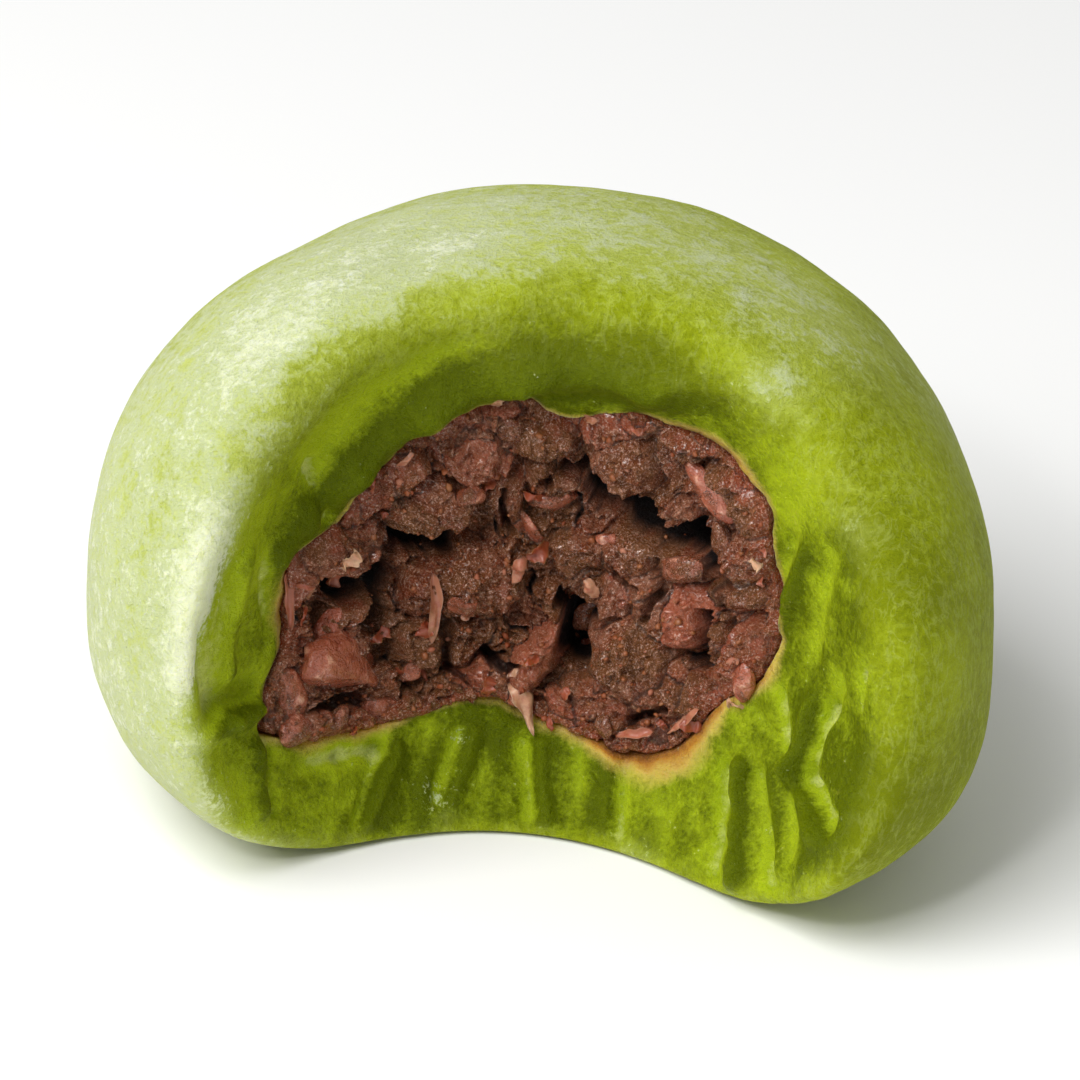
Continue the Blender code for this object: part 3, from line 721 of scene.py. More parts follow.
# Coated beans that bulge out of the mash: X, Z, length, width, turn, how far they stand out, tone up to bare and red
LUMPS = ((-5.0, 24.0, 4.4, 4.0, 30.0, 0.3, 0.8), (4.3, 24.4, 4.2, 3.6, 15.0, 0.4, 0.0), (11.9, 20.3, 5.4, 3.0, 78.0, 0.3, 0.3),
         (8.9, 15.0, 5.0, 3.4, 80.0, 0.1, 1.25), (12.4, 13.2, 5.8, 2.4, 82.0, 0.3, 0.7), (5.6, 11.2, 5.4, 4.6, 40.0, 0.5, 0.1),
         (-4.7, 15.0, 5.6, 5.0, -15.0, 0.4, 0.0), (-10.3, 22.6, 5.0, 3.2, 42.0, 0.1, 0.6), (-7.4, 20.2, 5.2, 4.2, 25.0, 0.5, 0.4),
         (-4.5, 27.0, 3.4, 2.2, 20.0, 0.2, 0.8), (-1.3, 25.2, 4.0, 3.0, 0.0, 0.3, 0.2), (2.9, 26.8, 3.8, 2.2, -5.0, 0.1, 0.7),
         (-9.0, 14.2, 4.6, 2.4, 86.0, -1.6, 0.9), (-15.4, 17.6, 4.8, 2.4, 70.0, 0.3, 0.7), (-13.4, 18.6, 3.4, 2.4, -30.0, 0.7, 0.4),
         (4.4, 18.0, 4.4, 3.2, 30.0, 0.2, 0.3), (3.9, 14.8, 3.8, 2.8, 70.0, 0.2, 0.4), (1.2, 17.4, 3.8, 3.0, 0.0, 0.3, 0.1),
         (3.4, 8.0, 4.4, 2.6, -20.0, 0.2, 0.6), (10.4, 9.8, 4.2, 2.6, 35.0, 0.2, 0.5), (-7.6, 11.2, 3.0, 2.4, 60.0, 0.2, 0.4),
         (7.2, 27.0, 3.2, 2.0, -30.0, 0.2, 0.4), (12.0, 24.0, 3.4, 2.2, -65.0, 0.2, 0.4), (-2.9, 20.8, 3.6, 2.6, 80.0, 0.2, 0.1),
         (-12.0, 7.6, 4.2, 2.2, -4.0, 0.3, 0.6), (7.4, 9.6, 3.6, 3.0, 10.0, 0.3, 0.2), (10.9, 17.4, 3.0, 2.2, 60.0, 0.1, 0.5),
         (6.6, 14.2, 4.6, 2.6, 86.0, 0.3, 0.15), (-0.4, 10.5, 5.6, 1.8, 64.0, 1.1, 0.9), (1.6, 7.6, 3.0, 2.0, 10.0, 0.2, 0.8), (-4.4, 8.6, 3.2, 1.8, 10.0, 0.1, 0.7))
STRAY_LUMPS = 70


def broken(points, size, seed, sharpness, lean):
    """Relief of pieces broken at random, as shares of size: each lattice cell has a chance point with a plane
    through it that leans its own way, and the planes are blended with weights exp(-sharpness * squared distance).

    Also returns how near the border between two pieces is, and a chance that stays the same all over a piece.
    """
    place = np.array(points) / size
    cell = np.floor(place)
    weights, heights, chances, heaviest = 1e-9, 0.0, 0.0, 0.0
    for step in np.ndindex(3, 3, 3):
        there = [axis + offset - 1 for axis, offset in zip(cell, step)]
        away = [axis + cell_chance(there, seed + n) - p for n, (axis, p) in enumerate(zip(there, place))]
        weight = np.exp(-sharpness * sum(side ** 2 for side in away))
        rise, right, up, tone = (cell_chance(there, seed + n) - 0.5 for n in (3, 4, 5, 6))
        heights = heights + weight * (rise - lean * (right * away[0] + up * away[2]))
        chances = chances + weight * (tone + 0.5)
        weights = weights + weight
        heaviest = np.maximum(heaviest, weight)
    return heights / weights, 2.0 * (1.0 - heaviest / weights), chances / weights


def filling_form(points):
    """The ball as far as the bite, with a soft edge between them."""
    return smooth_max(ball_form(points), -bite_form(points), FILLING_EDGE)


def paste_relief(points, to_edge):
    """How far the mash stands out from the smooth bite: broken pieces of three sizes, clefts between them, grains,
    coated beans that bulge out of it, and hollows. to_edge is the distance to the filling's edge. Also returns the
    depth of the hollows and clefts, for painted shade in them, a tone and how bare the beans are."""
    warp = [0.8 * waver(points, 2.4, seed, octaves=3) for seed in (51, 52, 53)]
    bent = np.array([axis + shift for axis, shift in zip(points, warp)])
    large, cleft, tone = broken(bent, 3.6, 61, 16.0, 2.2)
    middle, crack, _ = broken(bent, 1.7, 71, 14.0, 2.4)
    small, _, _ = broken(bent, 0.75, 81, 12.0, 2.4)
    grain, _, _ = broken(points, 0.34, 91, 7.0, 1.0)
    rough = 0.60 * small + 0.42 * grain
    height = 1.1 * large - 0.4 * cleft ** 3 + 0.7 * middle - 0.2 * crack ** 3 + rough + 0.5 * waver(points, 2.6, 55, 2)
    x, z = (0.3 * axis + 0.7 * shifted for axis, shifted in zip(points[::2], bent[::2]))
    bare, seam = np.zeros_like(x), cleft ** 3
    chance = np.random.default_rng(14)
    strays = np.stack([chance.uniform(-17.0, 15.0, STRAY_LUMPS), chance.uniform(5.0, 29.0, STRAY_LUMPS),
                       chance.uniform(1.4, 3.6, STRAY_LUMPS), chance.uniform(1.0, 2.4, STRAY_LUMPS),
                       chance.uniform(0.0, 180.0, STRAY_LUMPS), chance.uniform(-0.5, 0.5, STRAY_LUMPS),
                       chance.uniform(0.0, 0.8, STRAY_LUMPS)], axis=-1)
    for place_x, place_z, length, width, turn, rise, redness in [*strays.tolist(), *LUMPS]:
        c, s = math.cos(math.radians(turn)), math.sin(math.radians(turn))
        along, across = (x - place_x) * c + (z - place_z) * s, (z - place_z) * c - (x - place_x) * s
        share = length_of(2.3, along / (0.5 * length), across / (0.5 * width)) ** 2
        swell = np.where(share < 1.0, np.sqrt(np.clip(1.0 - share, 0.0, 1.0)), 2.5 * (1.0 - share))
        bulge = rise + 0.30 * width * swell + 0.45 * middle + 0.6 * rough
        bare = np.where(bulge > height, redness, bare)
        seam = np.where(bulge > height, 0.0, seam)
        seam = np.where(share < 2.0, np.maximum(seam, np.exp(-((bulge - height) / 0.2) ** 2)), seam)
        height = np.where(share < 2.0, smooth_max(height, bulge, 0.2), height)
    flat = (bent[0], 0.0 * x, bent[2])
    hollow = np.zeros_like(x)
    for start_x, start_z, end_x, end_z, half_width, depth in HOLLOWS:
        away = between(flat, (start_x, 0.0, start_z), (end_x, 0.0, end_z)) / half_width
        hollow = np.maximum(hollow, depth * smooth_step(away, 1.2, 0.65))
    fade = smooth_step(to_edge, 0.0, 1.6)
    return height * (0.3 + 0.7 * fade) - hollow - 0.12 * seam * fade, np.maximum(hollow, 1.9 * seam), tone, bare


def read_table(table, ring, column):
    """Values of a table between its rings and columns, in proportion to both; the columns go round."""
    ring_low = np.clip(np.floor(ring).astype(int), 0, table.shape[0] - 2)
    column_low = np.floor(column).astype(int)
    up, right = ring - ring_low, column - column_low
    column_low, column_high = column_low % table.shape[1], (column_low + 1) % table.shape[1]
    low = table[ring_low, column_low] * (1.0 - right) + table[ring_low, column_high] * right
    high = table[ring_low + 1, column_low] * (1.0 - right) + table[ring_low + 1, column_high] * right
    return low * (1.0 - up) + high * up


def square_loop(side):
    """The row and column of each point round a square grid's border, in order."""
    run = np.arange(side - 1)
    last = np.full(side - 1, side - 1)
    none = np.zeros(side - 1, dtype=int)
    return np.concatenate([none, run, last, side - 1 - run]), np.concatenate([run, last, side - 1 - run, none])


def bean_paste():
    """The filling's points, faces and numbers, and its bitten face's points and normals as square grids.

    The face is a square grid laid on a disc, so that its points are evenly spaced, and a skirt closes it behind.
    """
    around, from_front, fine, along = profiles(filling_form, FILLING_CORE, PASTE_COLUMNS)
    edge = crossing(ball_form(fine) + bite_form(fine), along)
    table = at_distance(edge * np.linspace(0.0, 1.0, PASTE_TABLE_RINGS + 1)[:, None], along, from_front)

    across, up = np.meshgrid(np.linspace(-1.0, 1.0, PASTE_SIDE), np.linspace(-1.0, 1.0, PASTE_SIDE))
    disc_x = across * np.sqrt(1.0 - 0.5 * up ** 2)
    disc_z = up * np.sqrt(1.0 - 0.5 * across ** 2)
    radius = np.clip(np.hypot(disc_x, disc_z), 0.0, 1.0)
    column = np.arctan2(disc_z, disc_x) / (2.0 * math.pi) * PASTE_COLUMNS
    angles = read_table(table, radius * PASTE_TABLE_RINGS, column)
    turn = column * 2.0 * math.pi / PASTE_COLUMNS
    smooth = meet(filling_form, FILLING_CORE, turn, angles)
    to_edge = (1.0 - radius) * read_table(edge[None].repeat(2, axis=0), 0.0 * column, column)
    normals = surface_normals(smooth, wrap=False)
    normals *= np.sign(-normals[1].mean())
    height, hollow, tone, bare = paste_relief(smooth, to_edge)
    face = smooth + normals * height

    rows, columns = square_loop(PASTE_SIDE)
    loop_turn, loop_angle = turn[rows, columns], angles[rows, columns]
    shares = np.linspace(0.0, 1.0, PASTE_SKIRT_RINGS + 2)[1:-1, None] ** 1.6
    skirt_angle = loop_angle + (math.pi - loop_angle) * shares
    skirt = meet(filling_form, FILLING_CORE, np.broadcast_to(loop_turn, skirt_angle.shape), skirt_angle)
    back = meet(filling_form, FILLING_CORE, np.zeros(1), np.full(1, math.pi))

    face_count = PASTE_SIDE ** 2
    loop = rows * PASTE_SIDE + columns
    length = len(loop)
    points = np.vstack([face.reshape(3, -1).T, skirt.reshape(3, -1).T, back.T])
    number = np.arange(face_count).reshape(PASTE_SIDE, PASTE_SIDE)
    squares = np.stack([number[:-1, :-1], number[:-1, 1:], number[1:, 1:], number[1:, :-1]], axis=-1).reshape(-1, 4)
    following = np.roll(loop, -1)
    first_ring = face_count + np.arange(length)
    hem = np.stack([following, loop, first_ring, np.roll(first_ring, -1)], axis=-1)
    skirt_faces = ring_faces(PASTE_SKIRT_RINGS, length, face_count)[:, ::-1]
    closing = pole_faces(length, face_count + (PASTE_SKIRT_RINGS - 1) * length, len(points) - 1)[:, ::-1]

    rest = np.zeros(len(points) - face_count)
    numbers = {"hollow": np.append(hollow.ravel(), rest), "tone": np.append(tone.ravel(), rest),
               "bare": np.append(bare.ravel(), rest),
               "rim": np.append(smooth_step(to_edge, 2.4, 0.2).ravel(), rest + 1.0)}
    square = np.stack([across, up], axis=-1)
    border = square[rows, columns]
    spread = [border * (1.0 + 0.11 * (ring + 1) / PASTE_SKIRT_RINGS) for ring in range(PASTE_SKIRT_RINGS)]
    flat = np.vstack([square.reshape(-1, 2), *spread, [[1.12, 1.12]]]) * 0.445 + 0.5
    return points, [squares, hem, skirt_faces, closing[:, ::-1]], numbers, flat, face, normals


paste_points, paste_faces, paste_numbers, paste_flat, face, face_normals = bean_paste()
paste = make_piece("coarse_bean_paste", paste_points, paste_faces, "bean_filling",
                   paste_numbers, paste_flat)

MASH_GREY = (0.25, 0.086, 0.026)
MASH_BROWN = (0.23, 0.040, 0.007)
MASH_RED = (0.36, 0.062, 0.016)
# The rose of painted highlights on wet grains
MASH_ROSE_HIGHLIGHT = (0.78, 0.42, 0.28)
MASH_PINK = (0.50, 0.205, 0.108)
# Near-black of painted shade in pits, clefts and hollows
MASH_SHADE_DARK = (0.011, 0.003, 0.0015)
BEAN_RED = (0.46, 0.125, 0.062)
BEAN_BROWN = (0.27, 0.050, 0.018)

shade, shader = food_material(paste, "coarse_red_bean_mash", {
    "Subsurface Weight": 0.12, "Subsurface Radius": (1.0, 0.4, 0.25), "Subsurface Scale": 0.5 * MM,
    "Specular IOR Level": 0.5, "Coat Roughness": 0.16})
hollow = shade.attribute("hollow")
tone = shade.attribute("tone")
rim = shade.attribute("rim")
patchy = shade.noise(1.7, 5.0, 0.62, distortion=0.5)
clots = shade.noise(0.42, 4.0, 0.7)
speck = shade.noise(0.15, 3.0, 0.75)
bare = (shade.attribute("bare") * 1.8 - 0.75 + (patchy - 0.5) * 2.2).clamped()
mash = ((tone - 0.5) * 1.6 + (patchy - 0.5) * 2.6 + 0.45).clamped().colour_mix(MASH_GREY, MASH_BROWN)
mash = (((tone - 0.5) * 1.6 + (clots - 0.5) * 2.0) * 0.7).clamped().colour_mix(mash, MASH_PINK)
mash = ((patchy - 0.55) * 5.0 * (tone + 0.3) + rim * 0.8 + (clots - 0.55) * 2.0).clamped().colour_mix(mash, MASH_RED)
mash = (bare * 0.85).colour_mix(mash, ((clots - 0.5) * 2.5 + 0.5).clamped().colour_mix(BEAN_BROWN, BEAN_RED))
# Painted highlights: rose specks on the grains stand in for wet glints
mash = (((speck - 0.53) * 6.0 + (clots - 0.5) * 2.0) * (1.2 - bare * 0.6)).clamped().colour_mix(mash, MASH_ROSE_HIGHLIGHT)
# Painted shade: near-black in the pits between the grains, and in the hollows and clefts
mash = ((0.44 - speck) * 5.0 + (0.42 - clots) * 3.0 - bare * 0.5).clamped().colour_mix(mash, MASH_SHADE_DARK)
mash = (hollow * 0.75 - 0.8).clamped().colour_mix(mash, MASH_SHADE_DARK)
paste_bump = shade.bump(clots * (1.2 - bare * 0.6), 0.55)
paste_bump = shade.bump(speck * (1.3 - bare * 0.8), 0.35, paste_bump)
wet = ((speck - 0.5) * 5.0 + (clots - 0.5) * 3.0 + (patchy - 0.5) * 2.0 + 0.15).clamped()
feed(shader, Base_Color=mash, Normal=paste_bump, Coat_Weight=wet, Roughness=0.20 + (speck - 0.5) * 0.5 + hollow * 0.1)


# ---- The crushed beans ----------------------------------------------------------------------------------
# Whole and half crushed azuki beans lie in the mash, some bare and reddish, some coated. Each is an ellipsoid
# pressed flat, wrinkled, and sunk by about half.

BEAN_ROWS, BEAN_COLUMNS = 19, 28
BEAN_DENTS = 6                  # flat or hollow places pressed into each bean
# Beans that show well: X, Z, length, width, turn in the face, how far it stands out, tone from coated to red
SHOWN_BEANS = ((-12.6, 10.9, 8.8, 4.2, -8.0, 0.75, 1.25), (-14.8, 7.9, 3.6, 2.2, 30.0, 0.6, 0.8),
               (-0.2, 20.7, 3.6, 2.4, 12.0, 0.55, 0.75), (6.9, 22.1, 4.4, 2.5, -40.0, 0.75, 0.95),
               (9.2, 24.3, 5.2, 1.9, -44.0, 0.6, 0.9), (-15.5, 9.8, 4.4, 2.2, 105.0, 0.6, 0.8),
               (-8.3, 9.2, 1.9, 1.3, 10.0, 0.9, 0.8), (-6.6, 8.2, 2.6, 1.3, -30.0, 0.8, 1.1),
               (-1.6, 18.9, 3.9, 1.5, -50.0, 0.75, 0.85), (8.3, 18.2, 3.6, 2.2, 32.0, 0.9, 0.6),
               (12.6, 12.4, 3.0, 1.6, 84.0, 0.6, 1.0), (-13.3, 12.8, 3.6, 2.2, 72.0, 0.5, 1.1))
STRAY_BEANS = 12


def sphere_grid(rows, columns):
    """The points and faces of a unit ball: rings from pole to pole, the poles being the last two points."""
    polar = np.linspace(0.0, math.pi, rows + 2)[1:-1, None]
    turn = np.arange(columns) * 2.0 * math.pi / columns
    rings = np.stack([np.sin(polar) * np.cos(turn), np.sin(polar) * np.sin(turn), np.cos(polar) + 0.0 * turn], axis=-1)
    points = np.vstack([rings.reshape(-1, 3), [[0.0, 0.0, 1.0], [0.0, 0.0, -1.0]]])
    count = rows * columns
    triangles = np.vstack([pole_faces(columns, 0, count)[:, ::-1], pole_faces(columns, count - columns, count + 1)])
    return points, ring_faces(rows, columns), triangles


def face_place(x, z):
    """The row and column of the bitten face's point nearest to each X and Z."""
    away = [(face[0] - a) ** 2 + (face[2] - b) ** 2 for a, b in zip(np.atleast_1d(x), np.atleast_1d(z))]
    return np.unravel_index([np.argmin(row) for row in away], face[0].shape)


def strewn_places(count, seed, apart, edge=0.97):
    """Rows and columns of the bitten face picked by chance, with at least a distance between any two."""
    chance = np.random.default_rng(seed)
    found = []
    for row, column in chance.integers(0, PASTE_SIDE, size=(60 * count, 2)):
        side = 2.0 * np.array([row, column]) / (PASTE_SIDE - 1) - 1.0
        point = face[:, row, column]
        if np.abs(side).max() < edge and all(np.linalg.norm(point - other) > apart for *_, other in found):
            found.append((row, column, point))
        if len(found) == count:
            break
    return np.array([row for row, *_ in found]), np.array([column for _, column, _ in found])


def frames(normals, turns):
    """For each normal a frame of three axes: one in the face at a turn from level, one across, and the normal."""
    level = np.array([1.0, 0.0, 0.0]) - normals * normals[:, :1]
    level /= np.linalg.norm(level, axis=1, keepdims=True)
    rising = np.cross(normals, level)
    rising *= np.sign(rising[:, 2:3] + 1e-9)
    c, s = np.cos(turns)[:, None], np.sin(turns)[:, None]
    along = level * c + rising * s
    return np.stack([along, np.cross(normals, along), normals], axis=1)


def joined(shapes, face_sets):
    """Many copies of one mesh as a single one: all their points, and the faces with their numbers moved on."""
    copies, each = shapes.shape[:2]
    shifts = np.arange(copies)[:, None, None] * each
    return shapes.reshape(-1, 3), [(faces[None] + shifts).reshape(-1, faces.shape[1]) for faces in face_sets]


def crushed_beans():
    """All beans as one mesh: balls with dents pressed into them, scaled, wrinkled, turned and half sunk.

    A dent pushes whatever lies beyond a plane back past it, along the plane's normal.
    """
    chance = np.random.default_rng(5)
    shown = np.array(SHOWN_BEANS)
    rows, columns = face_place(shown[:, 0], shown[:, 1])
    stray_rows, stray_columns = strewn_places(STRAY_BEANS, 17, 2.6)
    strays = len(stray_rows)
    length = np.append(shown[:, 2], chance.uniform(1.6, 3.4, strays))
    width = np.append(shown[:, 3], length[len(shown):] * chance.uniform(0.55, 0.9, strays))
    turns = np.radians(np.append(shown[:, 4], chance.uniform(0.0, 180.0, strays)))
    rise = np.append(shown[:, 5], chance.uniform(0.2, 0.6, strays))
    tone = np.append(shown[:, 6], chance.uniform(0.0, 0.9, strays) ** 1.3)
    rows, columns = np.append(rows, stray_rows), np.append(columns, stray_columns)
    centres, normals = face[:, rows, columns].T, face_normals[:, rows, columns].T
    tilt = normals + chance.normal(0.0, 0.16, normals.shape)
    axes = frames(tilt / np.linalg.norm(tilt, axis=1, keepdims=True), turns)

    ball, quads, triangles = sphere_grid(BEAN_ROWS, BEAN_COLUMNS)
    thickness = 0.55 * width
    size = 0.5 * np.stack([length, width, thickness * 1.3], axis=1)
    dented = np.repeat(ball[None], len(size), axis=0)
    for _ in range(BEAN_DENTS):
        way = chance.normal(size=(len(size), 1, 3))
        way /= np.linalg.norm(way, axis=2, keepdims=True)
        beyond = (dented * way).sum(axis=2, keepdims=True) - chance.uniform(0.45, 0.95, (len(size), 1, 1))
        dented = dented - way * smooth_max(beyond, 0.0, 0.18) * chance.uniform(0.8, 1.3, (len(size), 1, 1))
    shapes = dented * size[:, None]
    drift = chance.uniform(-50.0, 50.0, (len(size), 1, 3))
    wrinkle = waver((shapes * [0.5, 1.3, 1.0] + drift).transpose(2, 0, 1), 0.9, 91, octaves=3)
    shapes = shapes + ball[None] * (0.17 * wrinkle * np.minimum(width, 2.4)[:, None] * 0.5)[..., None]
    shapes = np.einsum("bni,bij->bnj", shapes, axes)
    sunk = centres + normals * ((rise - 0.55) * thickness)[:, None]
    points, faces = joined(shapes + sunk[:, None], [quads, triangles])
    return points, faces, {"tone": np.repeat(tone, len(ball)), "wrinkle": wrinkle.ravel()}


bean_points, bean_faces, bean_numbers = crushed_beans()
beans = make_piece("crushed_azuki_beans", bean_points, bean_faces, "bean_filling", bean_numbers)

shade, shader = food_material(beans, "azuki_bean_skin", {
    "Subsurface Weight": 0.15, "Subsurface Radius": (1.0, 0.4, 0.25), "Subsurface Scale": 0.5 * MM,
    "Specular IOR Level": 0.8, "Coat Roughness": 0.16})
tone = shade.attribute("tone")
wrinkle = shade.attribute("wrinkle")
mottle = shade.noise(0.9, 4.0, 0.62, distortion=0.4)
clots = shade.noise(0.42, 4.0, 0.7)
speck = shade.noise(0.15, 3.0, 0.75)
bare = (tone * 1.8 - 0.75 + (mottle - 0.5) * 2.2 + wrinkle * 0.4).clamped()
skin_red = ((mottle - 0.5) * 2.5 + 0.5).clamped().colour_mix(BEAN_BROWN, BEAN_RED)
# Painted highlights: rose on raised wrinkles and in random spots of the bare skin
skin_red = ((mottle - 0.60) * 5.0 + wrinkle * 0.5).clamped().colour_mix(skin_red, MASH_ROSE_HIGHLIGHT)
coat = ((mottle - 0.5) * 2.5 + 0.5).clamped().colour_mix(MASH_GREY, MASH_BROWN)
# The mash on coated beans, with rose specks as painted highlights and near-black pits as painted shade
coat = ((speck - 0.53) * 6.0 + (clots - 0.5) * 2.0).clamped().colour_mix(coat, MASH_ROSE_HIGHLIGHT)
coat = ((0.44 - speck) * 5.0 + (0.42 - clots) * 3.0).clamped().colour_mix(coat, MASH_SHADE_DARK)
bean_colour = bare.colour_mix(coat, skin_red)
bean_bump = shade.bump(clots * (1.2 - bare), 0.55)
bean_bump = shade.bump(speck * (1.3 - bare), 0.35, bean_bump)
bean_bump = shade.bump(mottle, 0.5, bean_bump)
wet = ((speck - 0.5) * 4.0 + (clots - 0.5) * 3.0 + (mottle - 0.5) * 2.0 + 0.3).clamped()
feed(shader, Base_Color=bean_colour, Normal=bean_bump, Coat_Weight=wet, Roughness=0.22 + (speck - 0.5) * 0.5)


# ---- The husks ------------------------------------------------------------------------------------------
# Thin skins that came off the beans: curled flakes, pinkish where light shines through, stuck in the mash.

HUSK_STEPS, HUSK_SECTION = 17, 14
# Husks that show well: X, Z, length, width, turn, lean out of the face in degrees, lift, tone, bow, taper
# The pale husk at X -12.9, Z 18.9 is a painted highlight: a pale flake put where the mash has a wet glint
SHOWN_HUSKS = ((-7.3, 13.7, 4.8, 1.0, 94.0, 6.0, 0.8, 0.70, 0.10, 0.45), (-0.9, 7.3, 4.4, 1.9, 110.0, 0.0, 0.8, 0.95, 0.05, 0.8),
               (2.7, 15.3, 1.8, 0.8, 112.0, 25.0, 0.9, 0.8, 0.3, 0.0), (-12.9, 18.9, 1.5, 1.0, 62.0, 5.0, 0.9, 1.1, 0.1, 0.2),
               (12.8, 21.1, 1.0, 0.8, 30.0, 20.0, 0.9, 1.3, 0.3, 0.0), (-15.9, 16.2, 4.0, 0.7, 98.0, 5.0, 0.4, 0.55, 0.05, 0.5),
               (12.3, 11.0, 1.2, 0.8, 60.0, 20.0, 0.9, 1.1, 0.3, 0.0), (-9.6, 24.5, 1.6, 0.5, 50.0, 20.0, 0.5, 0.7, 0.3, 0.3),
               (6.2, 7.0, 2.6, 0.6, 10.0, 10.0, 0.5, 0.6, 0.1, 0.3), (-4.5, 28.6, 1.5, 0.8, 95.0, 20.0, 0.7, 0.9, 0.3, 0.2),
               (-2.2, 16.4, 2.4, 0.8, 80.0, 14.0, 0.9, 0.7, 0.3, 0.2), (9.2, 8.4, 3.0, 0.6, 38.0, 8.0, 0.5, 0.7, 0.1, 0.3))
STRAY_HUSKS = 36


def husks():
    """All husks as one mesh: each a flat ring of points carried along an arc, wide in the middle, narrower towards
    its lower end by its taper, and cupped across."""
    chance = np.random.default_rng(8)
    shown = np.array(SHOWN_HUSKS)
    rows, columns = face_place(shown[:, 0], shown[:, 1])
    stray_rows, stray_columns = strewn_places(STRAY_HUSKS, 29, 1.5, edge=0.99)
    strays = len(stray_rows)
    length = np.append(shown[:, 2], chance.uniform(0.7, 2.2, strays))
    width = np.append(shown[:, 3], length[len(shown):] * chance.uniform(0.3, 0.7, strays))
    turns = np.radians(np.append(shown[:, 4], chance.uniform(0.0, 180.0, strays)))
    leans = np.radians(np.append(shown[:, 5], chance.normal(0.0, 28.0, strays)))
    lift = np.append(shown[:, 6], chance.uniform(0.1, 0.4, strays))
    tone = np.append(shown[:, 7], 0.8 * chance.uniform(0.0, 1.0, strays) ** 2.0)
    bow = np.append(shown[:, 8], chance.uniform(0.15, 0.45, strays))
    taper = np.append(shown[:, 9], chance.uniform(0.0, 0.6, strays))[:, None, None]
    rows, columns = np.append(rows, stray_rows), np.append(columns, stray_columns)
    centres, normals = face[:, rows, columns].T, face_normals[:, rows, columns].T
    axes = frames(normals, turns)

    step = np.linspace(0.0, 1.0, HUSK_STEPS)[None, :, None]
    turn = (np.arange(HUSK_SECTION) * 2.0 * math.pi / HUSK_SECTION)[None, None, :]
    outline = (1.02 - np.abs(2.0 * step - 1.0) ** 3.0) ** 0.5 * (1.0 - taper * (1.0 - step) ** 0.9)
    bend = (bow * length)[:, None, None]
    cup = chance.uniform(-0.7, 0.3, len(length))[:, None, None] * width[:, None, None]
    own = np.arange(len(length))[:, None, None] * 7.3
    ragged = 1.0 + 0.35 * waver(np.broadcast_arrays(step * 5.0 + own, np.sign(np.cos(turn)) * 3.0, 0.0 * own), 1.0, 95, 2)
    across = 0.5 * width[:, None, None] * outline * np.cos(turn) * ragged
    thick = 0.045 * np.sin(turn) * outline
    crumple = waver(np.broadcast_arrays(step * 3.0 + own, np.cos(turn) * 0.8, 0.0 * own), 1.0, 96, octaves=2)
    along = (step - 0.5) * length[:, None, None] + 0.0 * turn
    hump = bend * (0.25 - (step - 0.5) ** 2) * 2.0 - cup * (2.0 * across / width[:, None, None]) ** 2
    outward = thick + hump + along * np.sin(leans)[:, None, None] + 0.4 * crumple * width[:, None, None]
    shapes = np.stack([along * np.cos(leans)[:, None, None], across, outward], axis=-1)
    shapes = np.einsum("bsti,bij->bstj", shapes, axes) + (centres + normals * (lift - 0.2)[:, None])[:, None, None]
    ends = shapes[:, [0, -1]].mean(axis=2)
    shapes = np.concatenate([shapes.reshape(len(length), -1, 3), ends], axis=1)
    count = HUSK_STEPS * HUSK_SECTION
    quads = ring_faces(HUSK_STEPS, HUSK_SECTION)
    triangles = np.vstack([pole_faces(HUSK_SECTION, 0, count)[:, ::-1],
                           pole_faces(HUSK_SECTION, count - HUSK_SECTION, count + 1)])
    points, faces = joined(shapes, [quads, triangles])
    return points, faces, {"tone": np.repeat(tone, shapes.shape[1])}


husk_points, husk_faces, husk_numbers = husks()
husk = make_piece("bean_husks", husk_points, husk_faces, "bean_filling", husk_numbers)

HUSK_ROSE = (0.36, 0.110, 0.062)
HUSK_PALE = (0.66, 0.37, 0.22)

shade, shader = food_material(husk, "azuki_husk", {
    "Subsurface Weight": 0.3, "Subsurface Radius": (1.0, 0.45, 0.3), "Subsurface Scale": 0.4 * MM,
    "Specular IOR Level": 0.6})
tone = shade.attribute("tone")
mottle = shade.noise(0.6, 4.0, 0.65)
husk_colour = (tone * 1.4 - 0.8 + (mottle - 0.5) * 2.2).clamped().colour_mix(HUSK_ROSE, HUSK_PALE)
husk_colour = ((0.75 - tone) * 1.6 + (mottle - 0.5) * 2.5).clamped().colour_mix(husk_colour, BEAN_BROWN)
feed(shader, Base_Color=husk_colour, Normal=shade.bump(mottle, 0.12), Roughness=0.34 + (mottle - 0.5) * 0.4)


# ---- The crumbs -----------------------------------------------------------------------------------------
# Grains of cooked bean flesh, a fraction of a millimetre across, which make the mash look sandy.

CRUMBS = 600


def crumbs():
    """All crumbs as one mesh: small balls with a few facets, each stretched its own way, half sunk in the face."""
    chance = np.random.default_rng(3)
    inner = int(0.012 * PASTE_SIDE)
    rows, columns = chance.integers(inner, PASTE_SIDE - inner, size=(2, CRUMBS))
    centres, normals = face[:, rows, columns].T, face_normals[:, rows, columns].T
    ball, quads, triangles = sphere_grid(3, 6)
    radius = 0.07 + 0.19 * chance.uniform(0.0, 1.0, CRUMBS) ** 3.0
    size = radius[:, None] * chance.uniform(0.65, 1.25, (CRUMBS, 3))
    lumpy = ball[None] * (1.0 + chance.uniform(-0.35, 0.35, (CRUMBS, len(ball), 1)))
    turned = np.einsum("bni,bij->bnj", lumpy * size[:, None], frames(normals, chance.uniform(0.0, 6.28, CRUMBS)))
    points, faces = joined(turned + (centres + normals * (radius * 0.1)[:, None])[:, None], [quads, triangles])
    return points, faces, {"tone": np.repeat(chance.uniform(0.0, 1.0, CRUMBS), len(ball))}


crumb_points, crumb_faces, crumb_numbers = crumbs()
crumb = make_piece("bean_crumbs", crumb_points, crumb_faces, "bean_filling", crumb_numbers)

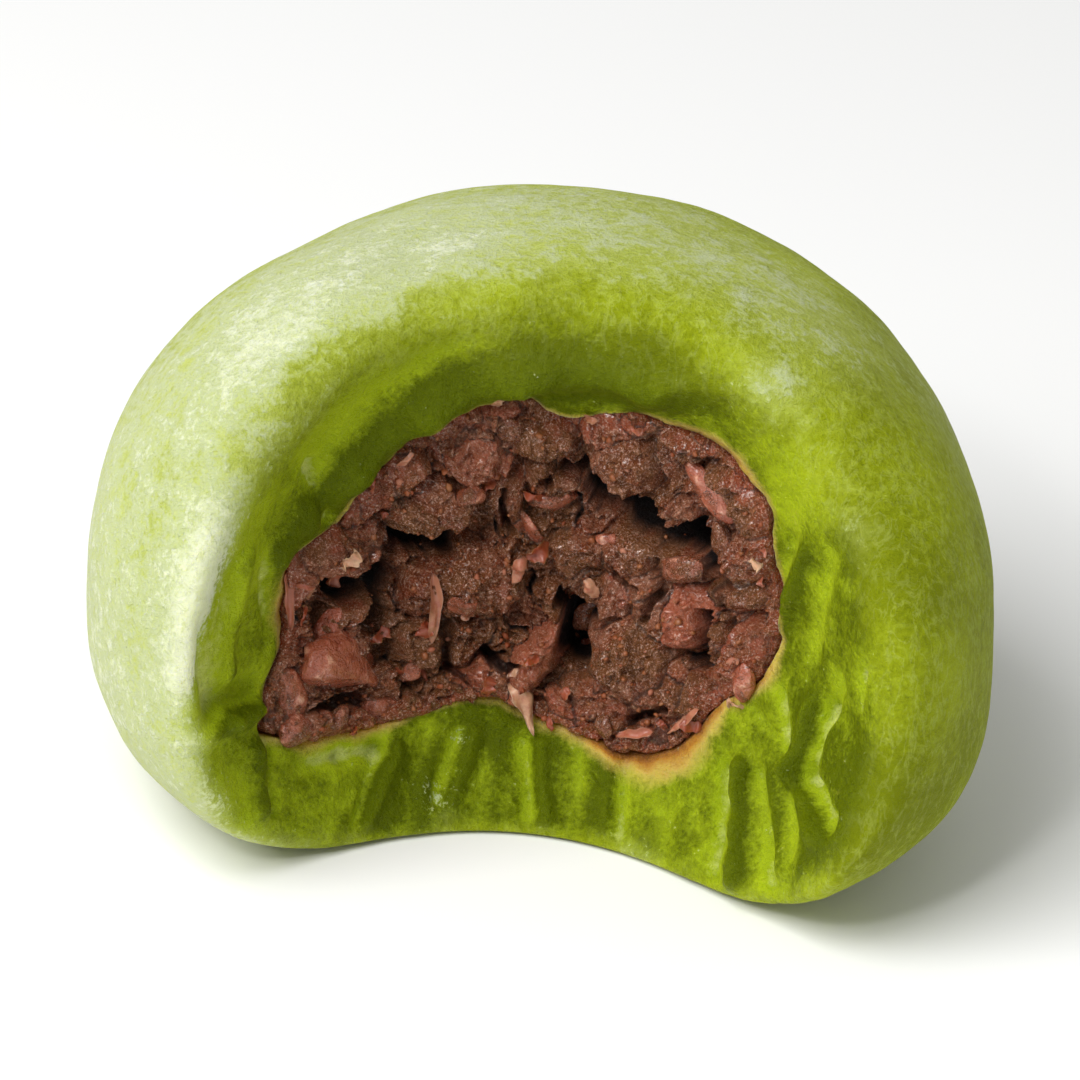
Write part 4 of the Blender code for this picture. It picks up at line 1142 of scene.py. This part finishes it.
shade, shader = food_material(crumb, "bean_crumb", {"Specular IOR Level": 0.5})
tone = shade.attribute("tone")
crumb_colour = tone.colour_mix(MASH_GREY, MASH_BROWN)
# The palest crumbs are mixed part way towards the rose of painted highlights
crumb_colour = ((tone - 0.9) * 3.0).clamped().colour_mix(crumb_colour, MASH_ROSE_HIGHLIGHT)
feed(shader, Base_Color=crumb_colour, Normal=shade.bump(shade.noise(0.14, 2.0), 0.05), Roughness=0.40 + tone * 0.2)


# ---- The table and the light ----------------------------------------------------------------------------
# A plain pale table, a broad soft light high on the left and behind, a weaker one in front, and pale air.

FLOOR_HALF = 1200.0
KEY_PLACE = (-258.0, -238.0, 415.0)
KEY_SIZE = 360.0
KEY_POWER = 3.1
FILL_PLACE = (-150.0, -360.0, 340.0)
FILL_SIZE = 45.0
FILL_POWER = 0.35
AIR_STRENGTH = 0.42

floor_mesh = bpy.data.meshes.new("table")
corners = [(-1, -1), (1, -1), (1, 1), (-1, 1)]
floor_mesh.from_pydata([(x * FLOOR_HALF * MM, y * FLOOR_HALF * MM, 0.0) for x, y in corners], [], [(0, 1, 2, 3)])
floor = bpy.data.objects.new("table", floor_mesh)
bpy.context.scene.collection.objects.link(floor)
_, shader = food_material(floor, "pale_table", {"Base Color": (0.93, 0.93, 0.92, 1.0), "Roughness": 0.9})


def soft_light(name, place, size, power):
    """A square area light that looks at the cake's middle."""
    light = bpy.data.lights.new(name, "AREA")
    light.size = size * MM
    light.energy = power
    lamp = bpy.data.objects.new(name, light)
    spot = in_frame(place)
    aim = (in_frame((0.0, 0.0, 15.0)) - spot).to_track_quat("-Z", "Y").to_matrix().to_4x4()
    lamp.matrix_world = Matrix.Translation(spot) @ aim
    bpy.context.scene.collection.objects.link(lamp)


soft_light("key_light", KEY_PLACE, KEY_SIZE, KEY_POWER)
soft_light("fill_light", FILL_PLACE, FILL_SIZE, FILL_POWER)
air = bpy.data.worlds.new("air")
air.use_nodes = True
air.node_tree.nodes["Background"].inputs["Color"].default_value = (1.0, 1.0, 1.0, 1.0)
air.node_tree.nodes["Background"].inputs["Strength"].default_value = AIR_STRENGTH
bpy.context.scene.world = air
bpy.context.scene.view_settings.view_transform = "Standard"
